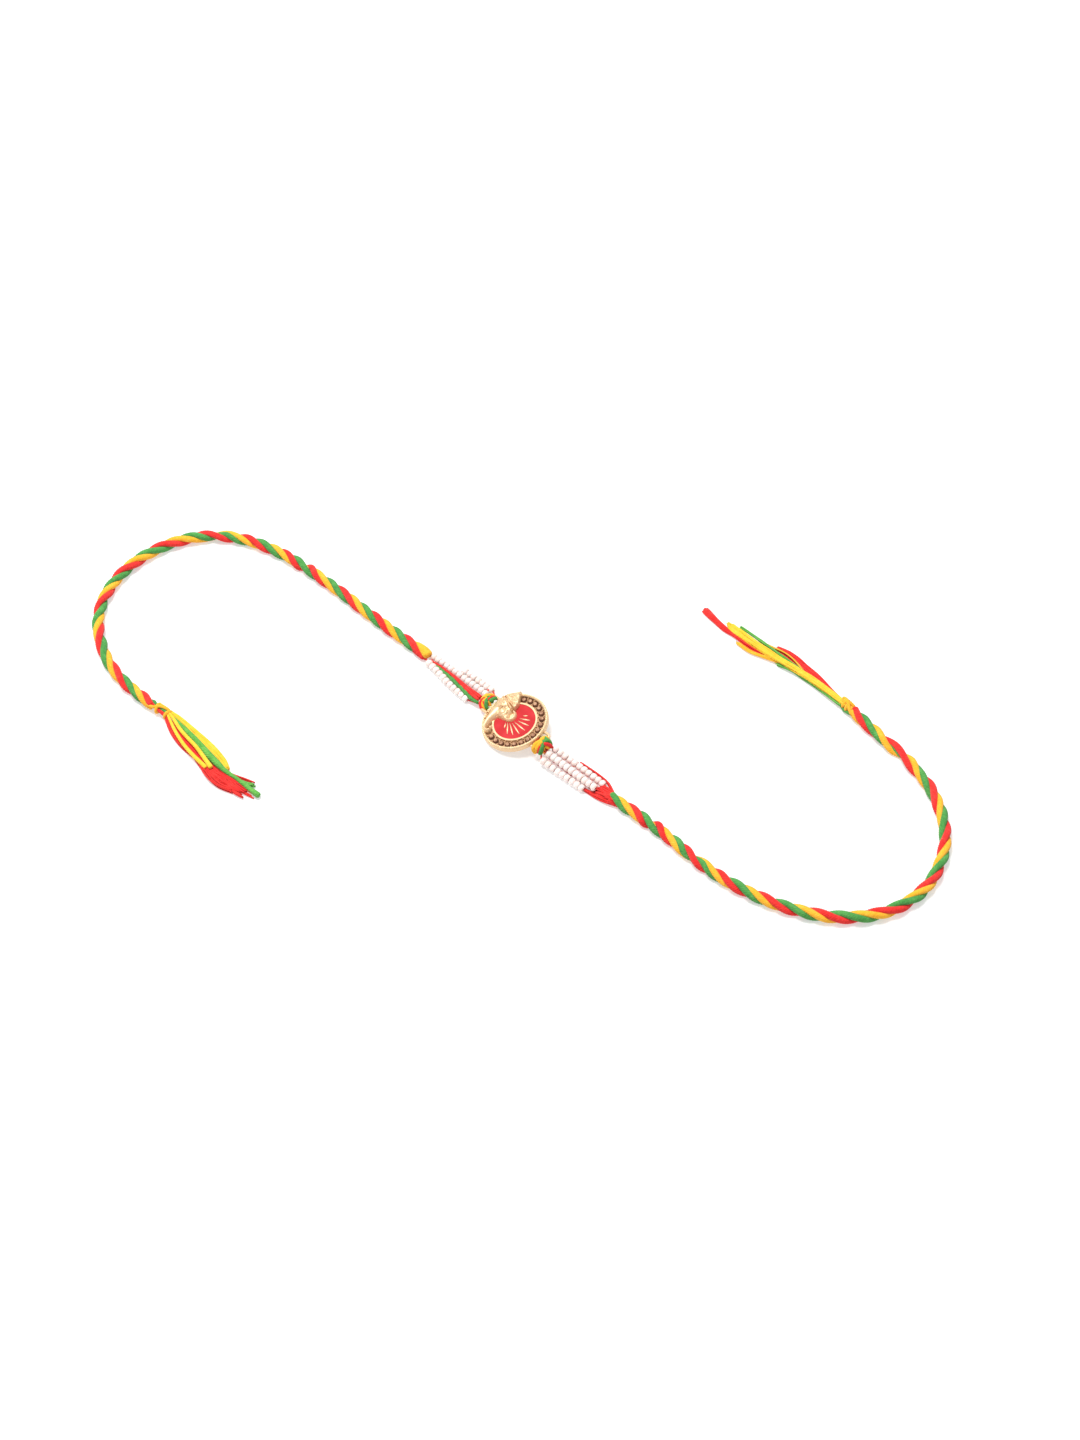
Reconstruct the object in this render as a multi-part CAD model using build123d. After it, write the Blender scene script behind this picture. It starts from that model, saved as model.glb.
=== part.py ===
from build123d import *
import os
from math import asin, atan2, cos, pi, radians, sin, sqrt, tan

os.makedirs("parts", exist_ok=True)

# A tied thread bracelet that lies open on a flat surface. All sizes are in millimetres.
# The origin is on the surface, under the middle of the medallion and its beads.
# +X runs along the band to the right-hand arm and +Z is up.

# Clearances
gap = 0.05  # between set or cast pieces
yarn_gap = 0.12  # between yarn and the metal that it is tied to
floor_gap = 0.04  # under every piece that lies on the surface

# Medallion, across and up
enamel_r = 5.70
ring_wall = 0.50  # raised wall round the enamel
stone_margin_in = 0.32
stone_margin_out = 0.04
rim_w = 0.86
plate_t = 0.80
wall_h = 1.20  # straight outer wall under the rim's round top
ring_h = 1.36
back_chamfer = 0.16
lean_deg = 14.0
lean_heading_deg = 227.3  # the side that the face looks to

# Stones
stone_d = 1.70
stone_space = 0.19
stone_count = 16
stone_mid_deg = 6.3  # middle of the arc of stones
stone_table_share = 0.60
stone_culet_share = 0.30
stone_crown_h = 0.36
stone_girdle_h = 0.10
stone_pavilion_h = 0.50
stone_sides = 8
seat_floor = 0.40  # metal left under the culet
prong_r = 0.22
prong_h = 0.75
prong_off_ring = 0.6  # its middle stands this share of its radius off the inner ring
prong_off_rim = 0.4  # and off the rim

# Enamel and its rays
enamel_t = 0.36
ray_w = 0.20
ray_tip_share = 0.4
ray_h = 0.46
ray_fan_r = 2.70  # the rays fan out from a point this far left of the centre
ray_first_deg = 39.0
ray_step_deg = -14.1
ray_reach = [
    (4.2, 5.5), (3.5, 6.5), (3.4, 7.0), (2.8, 7.1), (2.7, 7.1), (2.3, 6.5), (2.0, 5.7), (2.1, 3.7),
]

# Side rings and the yarn tied over them
bar_r = 0.40
loop_r = 0.55  # one turn of yarn
loop_count = 4
loop_pitch = 1.04
ring_corner_r = 0.80
right_drop = 2.25  # how far the right knot hangs below its bar
right_lean_deg = 5.0  # and leans in towards the rim

# Cord, beads and bare yarn
cord_r = 1.70
arc_share = 0.45  # each arc takes this share of the shorter run beside it
bead_r = 1.00
bundle_half_w = 1.05  # bare yarns side by side
bundle_half_h = 0.55
head_r = 0.85  # the cord where it is tied off
wrap_r = 0.40  # yellow strand tied round it
head_left_len = 6.2
head_right_len = 3.4
knot_turns_left = [(1.4, 6.0), (4.9, -6.0)]  # how far along the head, and lean in degrees
knot_turns_right = [(1.2, 5.0), (2.1, -5.0)]
tassel_left_len = 36.4
tassel_right_len = 49.0

standing = (Align.CENTER, Align.CENTER, Align.MIN)
hanging = (Align.CENTER, Align.CENTER, Align.MAX)

# Worked out from the sizes above
stone_r = stone_d / 2
ring_out_r = enamel_r + gap + ring_wall
stone_ring_r = ring_out_r + stone_margin_in + stone_r
rim_in_r = stone_ring_r + stone_r + stone_margin_out
rim_r = rim_in_r + rim_w
rim_top_r = rim_w / 2
stone_step_deg = 2 * asin((stone_d + stone_space) / 2 / stone_ring_r) * 180 / pi
loop_ring_r = bar_r + yarn_gap + loop_r
loop_out_r = loop_ring_r + loop_r
bar_x = rim_r + yarn_gap + 2 * loop_r + yarn_gap + bar_r
slot_half = loop_pitch * (loop_count - 1) / 2 + loop_r + yarn_gap

# The medallion's own frame: z is its face's normal and x runs to the right side ring.
lean = radians(lean_deg)
heading = radians(lean_heading_deg)
normal = Vector(sin(lean) * cos(heading), sin(lean) * sin(heading), cos(lean))
across = (Vector(1, 0, 0) - normal * normal.X).normalized()
back_z = rim_r * sin(lean) + floor_gap
back_centre = Vector(0, 0, back_z) - Vector(normal.X, normal.Y, 0) * (wall_h / 2)
seat = Plane(origin=back_centre, x_dir=across, z_dir=normal)

# Routes of the cords, chosen by hand from the photograph. Each height is that of the cord's middle.
cord_z = cord_r + floor_gap
route_left = [
    (-34.2, 0.1, cord_z),
    (-51.0, -1.2, cord_z),
    (-72.0, -1.3, cord_z),
    (-92.5, -3.2, cord_z),
    (-108.5, -10.0, cord_z),
    (-117.2, -23.5, cord_z),
    (-118.0, -40.0, cord_z),
    (-110.8, -54.5, cord_z),
    (-97.0, -62.6, cord_z),
    (-84.0, -65.0, cord_z),
    (-73.8, -63.8, cord_z),
]
route_right = [
    (34.2, 0.9, cord_z),
    (49.0, 2.7, cord_z),
    (66.0, 1.7, cord_z),
    (81.5, 4.2, cord_z),
    (97.0, 11.0, cord_z),
    (107.6, 22.0, cord_z),
    (111.2, 36.5, cord_z),
    (105.5, 52.0, cord_z),
    (93.0, 62.0, cord_z),
    (79.0, 65.4, cord_z),
    (68.0, 66.1, cord_z),
    (60.4, 67.4, cord_z),
]

# Routes of the bead strings, from the cord to the knot at the medallion
bead_z = bead_r + floor_gap
beads_left = [
    [(-33.8, 1.25, bead_z), (-28.5, 1.65, bead_z), (-22.0, 1.8, bead_z), (-12.8, 2.1, bead_z + 0.4)],
    [(-24.0, 3.85, bead_z), (-18.6, 4.15, bead_z), (-12.8, 4.15, bead_z + 0.3)],
    [(-33.0, -1.2, bead_z), (-28.0, -1.6, bead_z), (-22.5, -2.5, bead_z), (-15.6, -2.65, bead_z)],
]
beads_right = [
    [(30.4, 2.9, bead_z), (25.5, 2.75, bead_z), (19.0, 2.4, bead_z + 0.3), (13.0, 1.4, bead_z + 1.6)],
    [
        (30.0, -0.1, bead_z + 1.3), (25.0, -0.35, bead_z + 1.15),
        (18.5, -0.55, bead_z + 1.2), (12.95, -1.05, bead_z + 1.6),
    ],
    [(27.6, -1.9, bead_z), (23.0, -2.3, bead_z), (18.0, -2.75, bead_z), (13.0, -3.3, bead_z + 1.0)],
]
bundle_left = [(-34.1, 0.1, 2.62), (-28.0, 0.05, 2.45), (-21.0, -0.25, 2.25), (-12.8, -0.35, 2.3)]
bundle_right = [(34.0, 1.2, 1.1), (30.0, 0.6, 0.62), (22.0, 0.25, 0.6), (12.75, -0.33, 0.64)]

# Locks of the tassels. Columns: how far along, as a share of the tassel's length, then how far aside,
# half width, half height and lift off the surface, each in radii of the cord.
locks_left = [
    [(0.02, -0.15, 0.55, 0.50, 0.50), (0.26, -1.05, 0.85, 0.60, 0.02), (0.54, -1.60, 1.20, 0.50, 0.0),
     (0.76, -1.75, 1.45, 0.38, 0.0), (0.94, -1.25, 0.90, 0.28, 0.0)],
    [(0.02, 0.12, 0.50, 0.50, 0.50), (0.21, 0.50, 0.80, 0.62, 0.05), (0.46, 0.60, 0.80, 0.55, 0.0),
     (0.64, 0.25, 0.45, 0.36, 0.0)],
    [(0.02, 0.0, 0.45, 0.50, 0.52), (0.29, -0.12, 0.60, 0.66, 0.20), (0.62, -0.58, 0.66, 0.62, 0.12),
     (0.81, -0.70, 0.50, 0.50, 0.06), (1.0, -0.28, 0.42, 0.46, 0.0)],
]
locks_right = [
    [(0.02, 0.06, 0.55, 0.50, 0.50), (0.22, 0.20, 0.80, 0.60, 0.12), (0.50, -0.32, 0.76, 0.56, 0.06),
     (0.67, -0.56, 0.80, 0.50, 0.04), (0.85, -0.85, 0.85, 0.30, 0.0)],
    [(0.02, 0.20, 0.45, 0.50, 0.50), (0.18, 0.76, 0.70, 0.58, 0.04), (0.38, 1.12, 0.70, 0.48, 0.0),
     (0.53, 0.80, 0.50, 0.32, 0.0)],
    [(0.02, -0.12, 0.45, 0.46, 0.54), (0.27, -0.42, 0.48, 0.38, 0.02), (0.51, -1.00, 0.56, 0.36, 0.0),
     (0.72, -1.52, 0.70, 0.32, 0.0), (0.87, -1.44, 0.32, 0.22, 0.0), (1.0, -0.92, 0.44, 0.20, 0.0)],
]


def route_radii(points):
    """Give each corner the largest arc that its two runs allow."""
    corners = [Vector(*p) for p in points]
    radii = []
    for before, here, after in zip(corners, corners[1:], corners[2:]):
        turn = (here - before).get_angle(after - here)
        shorter = min((here - before).length, (after - here).length)
        radii.append(arc_share * shorter / tan(radians(turn) / 2))
    return radii


def tube(points, half_w, half_h):
    """A tube of the given half width and half height along straight runs joined by tangent arcs."""
    path = FilletPolyline(*points, radius=route_radii(points))
    course = path % 0
    start = Plane(origin=path @ 0, z_dir=course, x_dir=(-course.Y, course.X, 0))
    section = Circle(half_w) if half_w == half_h else Ellipse(half_w, half_h)
    return sweep(start * section, path=path)


def dome(x, y, radius, height, rise):
    """A raised round post with a rounded top, given as shares of the rim's radius."""
    foot = radius * rim_r
    low = plate_t / 2
    top = plate_t + height * rim_r
    shoulder = top - rise * rim_r
    ball_r = (foot**2 + (top - shoulder) ** 2) / (2 * (top - shoulder))
    profile = Polyline((0, top), (0, low), (foot, low), (foot, shoulder))
    profile += RadiusArc((foot, shoulder), (0, top), -ball_r)
    return Pos(x * rim_r, y * rim_r, 0) * revolve(Plane.XZ * make_face(profile), axis=Axis.Z)


# Elephant-head relief. Places and sizes are shares of the rim's radius.
# Columns of head_domes: x, y, foot radius, height, rise of the rounded top.
head_domes = [
    (-0.655, 0.215, 0.235, 0.250, 0.100),
    (-0.48, -0.015, 0.150, 0.205, 0.060),
    (-0.425, -0.585, 0.055, 0.115, 0.040),
    (-0.575, 0.045, 0.036, 0.255, 0.020),
]
# Outline of the head and trunk: along the forehead and trunk's outside, round its curl, back up its inside.
trunk_points = [
    (-0.90, 0.36), (-0.915, 0.20), (-0.89, 0.02), (-0.845, -0.16), (-0.78, -0.36), (-0.72, -0.54),
    (-0.655, -0.675), (-0.55, -0.775), (-0.44, -0.805), (-0.36, -0.76), (-0.335, -0.66), (-0.40, -0.645),
    (-0.46, -0.705), (-0.535, -0.655), (-0.56, -0.52), (-0.57, -0.37), (-0.55, -0.235), (-0.50, -0.16),
    (-0.38, -0.145), (-0.28, -0.13), (-0.28, 0.10), (-0.33, 0.30),
]
trunk_h = 0.115
trunk_top_h = 0.165
trunk_inset = 0.035
# Outline of the crown, from its left foot over the tip to its right foot, as x and y.
crown_points = [(-0.85, 0.42), (-0.71, 0.66), (-0.55, 0.84), (-0.40, 0.62), (-0.29, 0.46), (-0.27, 0.27)]
crown_h = 0.135
crown_top_h = 0.175
crown_inset = 0.045
band_points = [(-0.80, 0.37), (-0.30, 0.21)]
band_h = 0.250
band_w = 0.05
collar_place = (-0.25, 0.05)
collar_in_r = 0.125
collar_out_r = 0.195
collar_h = 0.115
collar_dish_h = 0.070


def raised(points, inset, height):
    """A flat raised shape with the given outline, drawn in by an inset, from inside the plate up."""
    face = make_face(Polyline(*[(x * rim_r, y * rim_r) for x, y in points], close=True))
    if inset:
        face = offset(face, amount=-inset * rim_r, kind=Kind.INTERSECTION)
    return Pos(0, 0, plate_t / 2) * extrude(face, amount=height * rim_r + plate_t / 2)


def elephant_relief():
    pieces = [
        raised(trunk_points, 0, trunk_h),
        raised(trunk_points, trunk_inset, trunk_top_h),
        raised(crown_points, 0, crown_h),
        raised(crown_points, crown_inset, crown_top_h),
    ]
    pieces += [dome(*row) for row in head_domes]
    (x1, y1), (x2, y2) = band_points
    length = sqrt((x2 - x1) ** 2 + (y2 - y1) ** 2) * rim_r
    slope = atan2(y2 - y1, x2 - x1) * 180 / pi
    band = Box(length, band_w * rim_r, band_h * rim_r + plate_t / 2, align=standing)
    pieces.append(Pos((x1 + x2) / 2 * rim_r, (y1 + y2) / 2 * rim_r, plate_t / 2) * Rot(0, 0, slope) * band)
    collar = Pos(collar_place[0] * rim_r, collar_place[1] * rim_r, plate_t / 2)
    pieces.append(collar * Cylinder(collar_out_r * rim_r, collar_h * rim_r + plate_t / 2, align=standing))
    dish = Pos(0, 0, plate_t / 2 + collar_dish_h * rim_r) * Cylinder(collar_in_r * rim_r, rim_r, align=standing)
    return pieces, collar * dish


def ray(index, grow=0.0):
    """One ray as a flat outline, widest at its middle, grown all round by a clearance."""
    start, end = ray_reach[index]
    mid = (start + end) / 2
    tip = ray_w * ray_tip_share / 2 + grow
    half = ray_w / 2 + grow
    side = [(start - grow, tip), (mid, half), (end + grow, tip)]
    face = make_face(Polyline(*side, *[(x, -y) for x, y in reversed(side)], close=True))
    return Pos(-ray_fan_r, 0, 0) * Rot(0, 0, ray_first_deg + index * ray_step_deg) * face


def stone():
    """A round-cut stone standing on its culet at the origin."""
    def ring(z, share):
        return Pos(0, 0, z) * RegularPolygon(stone_r * share, stone_sides)

    girdle_z = stone_pavilion_h + stone_girdle_h
    pavilion = loft([ring(0, stone_culet_share), ring(stone_pavilion_h, 1)], ruled=True)
    girdle = extrude(ring(stone_pavilion_h, 1), amount=stone_girdle_h)
    crown = loft([ring(girdle_z, 1), ring(girdle_z + stone_crown_h, stone_table_share)], ruled=True)
    return pavilion + girdle + crown


def stone_places():
    """Each stone's place in the medallion's frame, clockwise from the top."""
    first = stone_mid_deg + stone_step_deg * (stone_count - 1) / 2
    spot = Pos(stone_ring_r, 0, seat_floor)
    return [Rot(0, 0, first - i * stone_step_deg) * spot for i in range(stone_count)]


def stone_room():
    """The room that one stone needs in the metal, with a clearance all round."""
    cup = Cone(stone_r * stone_culet_share + gap, stone_r + gap, stone_pavilion_h, align=standing)
    shaft = Cylinder(stone_r + gap, rim_r, align=standing)
    return Pos(0, 0, -gap) * cup + Pos(0, 0, stone_pavilion_h - gap) * shaft


def prong(radius, angle_deg):
    return Rot(0, 0, angle_deg) * Pos(radius, 0, plate_t / 2) * Cylinder(prong_r, prong_h, align=standing)


def side_ring(side, height):
    """A bar that stands off the rim on two short arms, for the yarn to be tied over."""
    foot_x = rim_in_r - bar_r / 2
    half = slot_half + bar_r
    corners = [(side * foot_x, half, height), (side * bar_x, half, height)]
    corners += [(side * bar_x, -half, height), (side * foot_x, -half, height)]
    path = FilletPolyline(*corners, radius=ring_corner_r)
    section = Plane(origin=path @ 0, z_dir=path % 0) * Circle(bar_r)
    return sweep(section, path=path)


def bar_height(side):
    """The left bar is as low as its yarn allows. The right one is flush with the medallion's back."""
    if side > 0:
        return bar_r
    low = back_centre.Z - bar_x * across.Z - slot_half * abs(seat.y_dir.Z)
    return (loop_out_r + floor_gap - low) / normal.Z


def medallion():
    profile = Polyline((0, 0), (rim_r - back_chamfer, 0), (rim_r, back_chamfer), (rim_r, wall_h))
    rim_top = ((rim_r + rim_in_r) / 2, wall_h + rim_top_r)
    profile += ThreePointArc((rim_r, wall_h), rim_top, (rim_in_r, wall_h))
    wall_in_r = enamel_r + gap
    profile += Polyline(
        (rim_in_r, wall_h), (rim_in_r, plate_t), (ring_out_r, plate_t), (ring_out_r, ring_h),
        (wall_in_r, ring_h), (wall_in_r, plate_t), (0, plate_t), (0, 0),
    )
    face = Plane.XZ * make_face(profile)
    body = revolve(face, axis=Axis.Z)
    low = Pos(0, 0, plate_t / 2)
    pieces = [low * extrude(ray(i), amount=plate_t / 2 + ray_h) for i in range(len(ray_reach))]
    first = stone_mid_deg + stone_step_deg * stone_count / 2
    for index in range(stone_count + 1):
        angle = first - index * stone_step_deg
        pieces.append(prong(ring_out_r + prong_r * prong_off_ring, angle))
        pieces.append(prong(rim_in_r - prong_r * prong_off_rim, angle))
    relief, dish = elephant_relief()
    body += pieces
    body += relief
    body -= [dish] + [place * stone_room() for place in stone_places()]
    return body + [side_ring(side, bar_height(side)) for side in (-1, 1)]


def enamel_field():
    """The enamel lies in its ring and is cut back from the rays and the relief."""
    field = Pos(0, 0, plate_t + gap) * Cylinder(enamel_r, enamel_t, align=standing)
    cuts = [Pos(0, 0, plate_t) * extrude(ray(i, gap), amount=2 * rim_r) for i in range(len(ray_reach))]
    for points in (trunk_points, crown_points):
        outline = make_face(Polyline(*[(x * rim_r, y * rim_r) for x, y in points], close=True))
        cuts.append(extrude(offset(outline, amount=gap, kind=Kind.INTERSECTION), amount=2 * rim_r))
    for x, y, foot, _, _ in head_domes:
        cuts.append(Pos(x * rim_r, y * rim_r, 0) * Cylinder(foot * rim_r + gap, 2 * rim_r))
    collar = Cylinder(collar_out_r * rim_r + gap, 2 * rim_r)
    cuts.append(Pos(collar_place[0] * rim_r, collar_place[1] * rim_r, 0) * collar)
    return field - cuts


def ring_knot(side):
    """Turns of yarn side by side round the side ring's bar. The right ones hang down under the rim."""
    drop = right_drop if side > 0 else 0.0
    turns = []
    for index in range(loop_count):
        y = (index - (loop_count - 1) / 2) * loop_pitch
        top = Pos(side * bar_x, y, bar_height(side)) * Rot(0, right_lean_deg, 0)
        if drop:
            arch = Torus(loop_ring_r, loop_r, major_angle=180, align=(Align.CENTER, Align.MIN, Align.CENTER))
            turns.append(top * Rot(90, 0, 0) * arch)
            turns.append(top * Pos(0, 0, -drop) * Rot(-90, 0, 0) * arch)
            for x in (-loop_ring_r, loop_ring_r):
                turns.append(top * Pos(x, 0, 0) * Cylinder(loop_r, drop, align=hanging))
        else:
            turns.append(top * Rot(90, 0, 0) * Torus(loop_ring_r, loop_r))
    return Part() + turns


def head_plane(route):
    """Where a cord ends, looking out along its last run."""
    end = Vector(*route[-1])
    return Plane(origin=end, z_dir=end - Vector(*route[-2]), x_dir=(0, 0, 1))


def lock(rows, origin, way, length):
    """One lock of a tassel, through ellipses that stand across its way."""
    middles = []
    for along, aside, _, half_h, lift in rows:
        height = floor_gap + (lift + half_h) * cord_r
        middles.append(Vector(origin.X + way * along * length, origin.Y + aside * cord_r, height))
    sections = []
    for index, (_, _, half_w, half_h, _) in enumerate(rows):
        course = middles[min(index + 1, len(rows) - 1)] - middles[max(index - 1, 0)]
        flat = Vector(course.X, course.Y, 0)
        plane = Plane(origin=middles[index], z_dir=flat, x_dir=(0, 0, 1))
        sections.append(plane * Ellipse(half_h * cord_r, half_w * cord_r))
    return loft(sections)


def tassel(route, head_len, locks, way, length):
    """The cord's own yarns past its knot: a tied head and the locks that spread from it."""
    start = head_plane(route)
    head = start * Cylinder(head_r, head_len + head_r, align=standing)
    foot = start.origin + start.z_dir * head_len
    return head + [lock(rows, foot, way, length) for rows in locks]


def end_knot(route, turns):
    """Turns of yarn round a tassel's head, with the strand that joins them. Each turn is (place, lean)."""
    start = head_plane(route)
    ring_r = head_r + gap + wrap_r
    rings = [start * Pos(0, 0, z) * Rot(0, turn_deg, 0) * Torus(ring_r, wrap_r) for z, turn_deg in turns]
    first = turns[0][0]
    last = turns[-1][0]
    joint = start * Pos(ring_r, 0, first) * Cylinder(wrap_r, last - first, align=standing)
    return joint + rings


def save(shape, name):
    shape.label = name
    export_step(shape, f"parts/{name}.step")


metal = medallion()
save(seat.location * metal, "medallion")
save(seat.location * enamel_field(), "enamel_field")
gem = stone()
for number, place in enumerate(stone_places(), start=1):
    save(seat.location * (place * gem), f"stone_{number:02d}")
save(seat.location * ring_knot(-1), "ring_knot_left")
save(seat.location * ring_knot(1), "ring_knot_right")
for side, strings in (("left", beads_left), ("right", beads_right)):
    for number, points in enumerate(strings, start=1):
        save(tube(points, bead_r, bead_r), f"bead_string_{side}_{number}")
save(tube(bundle_left, bundle_half_w, bundle_half_h), "yarn_bundle_left")
save(tube(bundle_right, bundle_half_w, bundle_half_h), "yarn_bundle_right")
for name, route in (("cord_left", route_left), ("cord_right", route_right)):
    print(name, "radii", [round(r, 1) for r in route_radii(route)])
    save(tube(route, cord_r, cord_r), name)
save(tassel(route_left, head_left_len, locks_left, 1, tassel_left_len), "tassel_left")
save(tassel(route_right, head_right_len, locks_right, -1, tassel_right_len), "tassel_right")
save(end_knot(route_left, knot_turns_left), "end_knot_left")
save(end_knot(route_right, knot_turns_right), "end_knot_right")
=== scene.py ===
import math
import random

import bmesh
import bpy
import numpy as np
from mathutils import Matrix, Vector


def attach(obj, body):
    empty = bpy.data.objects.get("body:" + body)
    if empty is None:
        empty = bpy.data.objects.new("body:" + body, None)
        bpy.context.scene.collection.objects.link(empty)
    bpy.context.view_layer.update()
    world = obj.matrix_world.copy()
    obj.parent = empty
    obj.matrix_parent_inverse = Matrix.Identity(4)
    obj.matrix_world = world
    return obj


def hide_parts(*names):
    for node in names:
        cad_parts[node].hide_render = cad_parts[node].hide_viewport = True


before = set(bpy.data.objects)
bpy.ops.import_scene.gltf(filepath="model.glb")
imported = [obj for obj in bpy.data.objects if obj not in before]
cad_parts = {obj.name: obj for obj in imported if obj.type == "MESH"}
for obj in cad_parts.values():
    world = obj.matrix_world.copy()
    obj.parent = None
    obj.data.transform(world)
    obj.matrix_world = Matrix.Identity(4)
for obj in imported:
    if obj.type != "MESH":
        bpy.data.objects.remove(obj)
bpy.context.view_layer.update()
scene = bpy.context.scene

# A thread bracelet that lies open on a white surface, dressed over its solids.
# Pieces are shaped in millimetres and brought to metres as they are finished.
metre = 0.001
weld = 0.00001
up = np.array([0.0, 0.0, 1.0])
whole_turn = 2 * math.pi

# Camera, in millimetres
camera_target = np.array([2.37, 6.92, 0.0])
camera_back = np.array([0.4353, -0.4353, 0.7880])
camera_reach = 600.0
camera_lens = 55.97
camera_place = camera_target + camera_reach * camera_back

# The medallion's own frame, as in the part's source
rim_r = 9.17
rim_in_r = 8.31
rim_top = 1.63
wall_h = 1.20
plate_t = 0.80
channel_in_r = 6.30
channel_depth = 0.50
enamel_top = 1.16
lean = math.radians(14.0)
heading = math.radians(227.3)
floor_gap = 0.04
face_way = Vector((math.sin(lean) * math.cos(heading), math.sin(lean) * math.sin(heading), math.cos(lean)))
seat_across = (Vector((1, 0, 0)) - face_way * face_way.x).normalized()
seat_along = face_way.cross(seat_across)
seat_origin = Vector((0, 0, rim_r * math.sin(lean) + floor_gap))
seat_origin -= Vector((face_way.x, face_way.y, 0)) * (wall_h / 2)
seat = Matrix.Translation(seat_origin) @ Matrix((seat_across, seat_along, face_way)).transposed().to_4x4()

# Routes, as in the part's source
cord_z = 1.74
route_left = [
    (-34.2, 0.1), (-51.0, -1.2), (-72.0, -1.3), (-92.5, -3.2), (-108.5, -10.0), (-117.2, -23.5),
    (-118.0, -40.0), (-110.8, -54.5), (-97.0, -62.6), (-84.0, -65.0), (-73.8, -63.8),
]
route_right = [
    (34.2, 0.9), (49.0, 2.7), (66.0, 1.7), (81.5, 4.2), (97.0, 11.0), (107.6, 22.0), (111.2, 36.5),
    (105.5, 52.0), (93.0, 62.0), (79.0, 65.4), (68.0, 66.1), (60.4, 67.4),
]
bead_z = 1.04
bead_routes = {
    "left_1": [
        (-33.8, 1.25, bead_z), (-28.5, 1.65, bead_z), (-22.0, 1.8, bead_z), (-12.8, 2.1, bead_z + 0.4),
    ],
    "left_2": [(-24.0, 3.85, bead_z), (-18.6, 4.15, bead_z), (-12.8, 4.15, bead_z + 0.3)],
    "left_3": [(-33.0, -1.2, bead_z), (-28.0, -1.6, bead_z), (-22.5, -2.5, bead_z), (-15.6, -2.65, bead_z)],
    "right_1": [
        (30.4, 2.9, bead_z), (25.5, 2.75, bead_z), (19.0, 2.4, bead_z + 0.3), (13.0, 1.4, bead_z + 1.6),
    ],
    "right_2": [
        (30.0, -0.1, bead_z + 1.3), (25.0, -0.35, bead_z + 1.15), (18.5, -0.55, bead_z + 1.2),
        (12.95, -1.05, bead_z + 1.6),
    ],
    "right_3": [
        (27.6, -1.9, bead_z), (23.0, -2.3, bead_z), (18.0, -2.75, bead_z), (13.0, -3.3, bead_z + 1.0),
    ],
}


# Finishes

fibre_draw = 0.35  # how much slower the fibres change along the yarn than round it
fibre_scale = 5.0
fibre_share = 0.75
fibre_height = 0.00012
patch_scale = 420.0
grain_scale = 2600.0
grain_height = 0.00005
# how far painted shade darkens the gilt in the relief's hollows
painted_hollow_shade = 0.45


def colour(code):
    """A colour written as six hex digits, as the shader's own light."""
    parts = [int(code[i:i + 2], 16) / 255 for i in (0, 2, 4)]
    return [p / 12.92 if p <= 0.04045 else ((p + 0.055) / 1.055) ** 2.4 for p in parts] + [1.0]


class Finish:
    """One material and the nodes that feed its shader."""

    def __init__(self, name, **sockets):
        self.material = bpy.data.materials.new(name)
        self.material.use_nodes = True
        self.tree = self.material.node_tree
        self.shader = self.tree.nodes["Principled BSDF"]
        for socket, value in sockets.items():
            self.shader.inputs[socket.replace("_", " ")].default_value = value

    def node(self, kind, *inputs, **settings):
        made = self.tree.nodes.new(kind)
        for key, value in settings.items():
            setattr(made, key, value)
        for socket, value in zip(made.inputs, inputs):
            if isinstance(value, bpy.types.NodeSocket):
                self.tree.links.new(value, socket)
            elif value is not None:
                socket.default_value = value
        return made.outputs[0]

    def sum(self, operation, *inputs):
        return self.node("ShaderNodeMath", *inputs, operation=operation)

    def vector(self, operation, *inputs):
        made = self.node("ShaderNodeVectorMath", *inputs, operation=operation).node
        return made.outputs["Value" if operation == "DOT_PRODUCT" else "Vector"]

    def noise(self, place, scale, detail=2.0, roughness=0.5):
        return self.node("ShaderNodeTexNoise", place, None, scale, detail, roughness)

    def own_place(self):
        return self.node("ShaderNodeTexCoord").node.outputs["Object"]

    def blend(self, share, *stops):
        """A colour ramp over (place, hex colour) stops."""
        made = self.tree.nodes.new("ShaderNodeValToRGB")
        ramp = made.color_ramp
        while len(ramp.elements) < len(stops):
            ramp.elements.new(0.5)
        for element, (place, code) in zip(ramp.elements, stops):
            element.position = place
            element.color = colour(code)
        self.tree.links.new(share, made.inputs["Fac"])
        return made.outputs["Color"]

    def change(self, share, shade, code):
        """The shade, turned to one hex colour by a share."""
        made = self.tree.nodes.new("ShaderNodeMix")
        made.data_type = "RGBA"
        factor, *_, first, second = [s for s in made.inputs if s.enabled]
        self.tree.links.new(share, factor)
        self.tree.links.new(shade, first)
        second.default_value = colour(code)
        return next(s for s in made.outputs if s.enabled)

    def paint(self, shade):
        self.tree.links.new(shade, self.shader.inputs["Base Color"])

    def bump(self, height, strength, distance):
        made = self.tree.nodes.new("ShaderNodeBump")
        made.inputs["Strength"].default_value = strength
        made.inputs["Distance"].default_value = distance
        self.tree.links.new(height, made.inputs["Height"])
        self.tree.links.new(made.outputs["Normal"], self.shader.inputs["Normal"])


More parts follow.
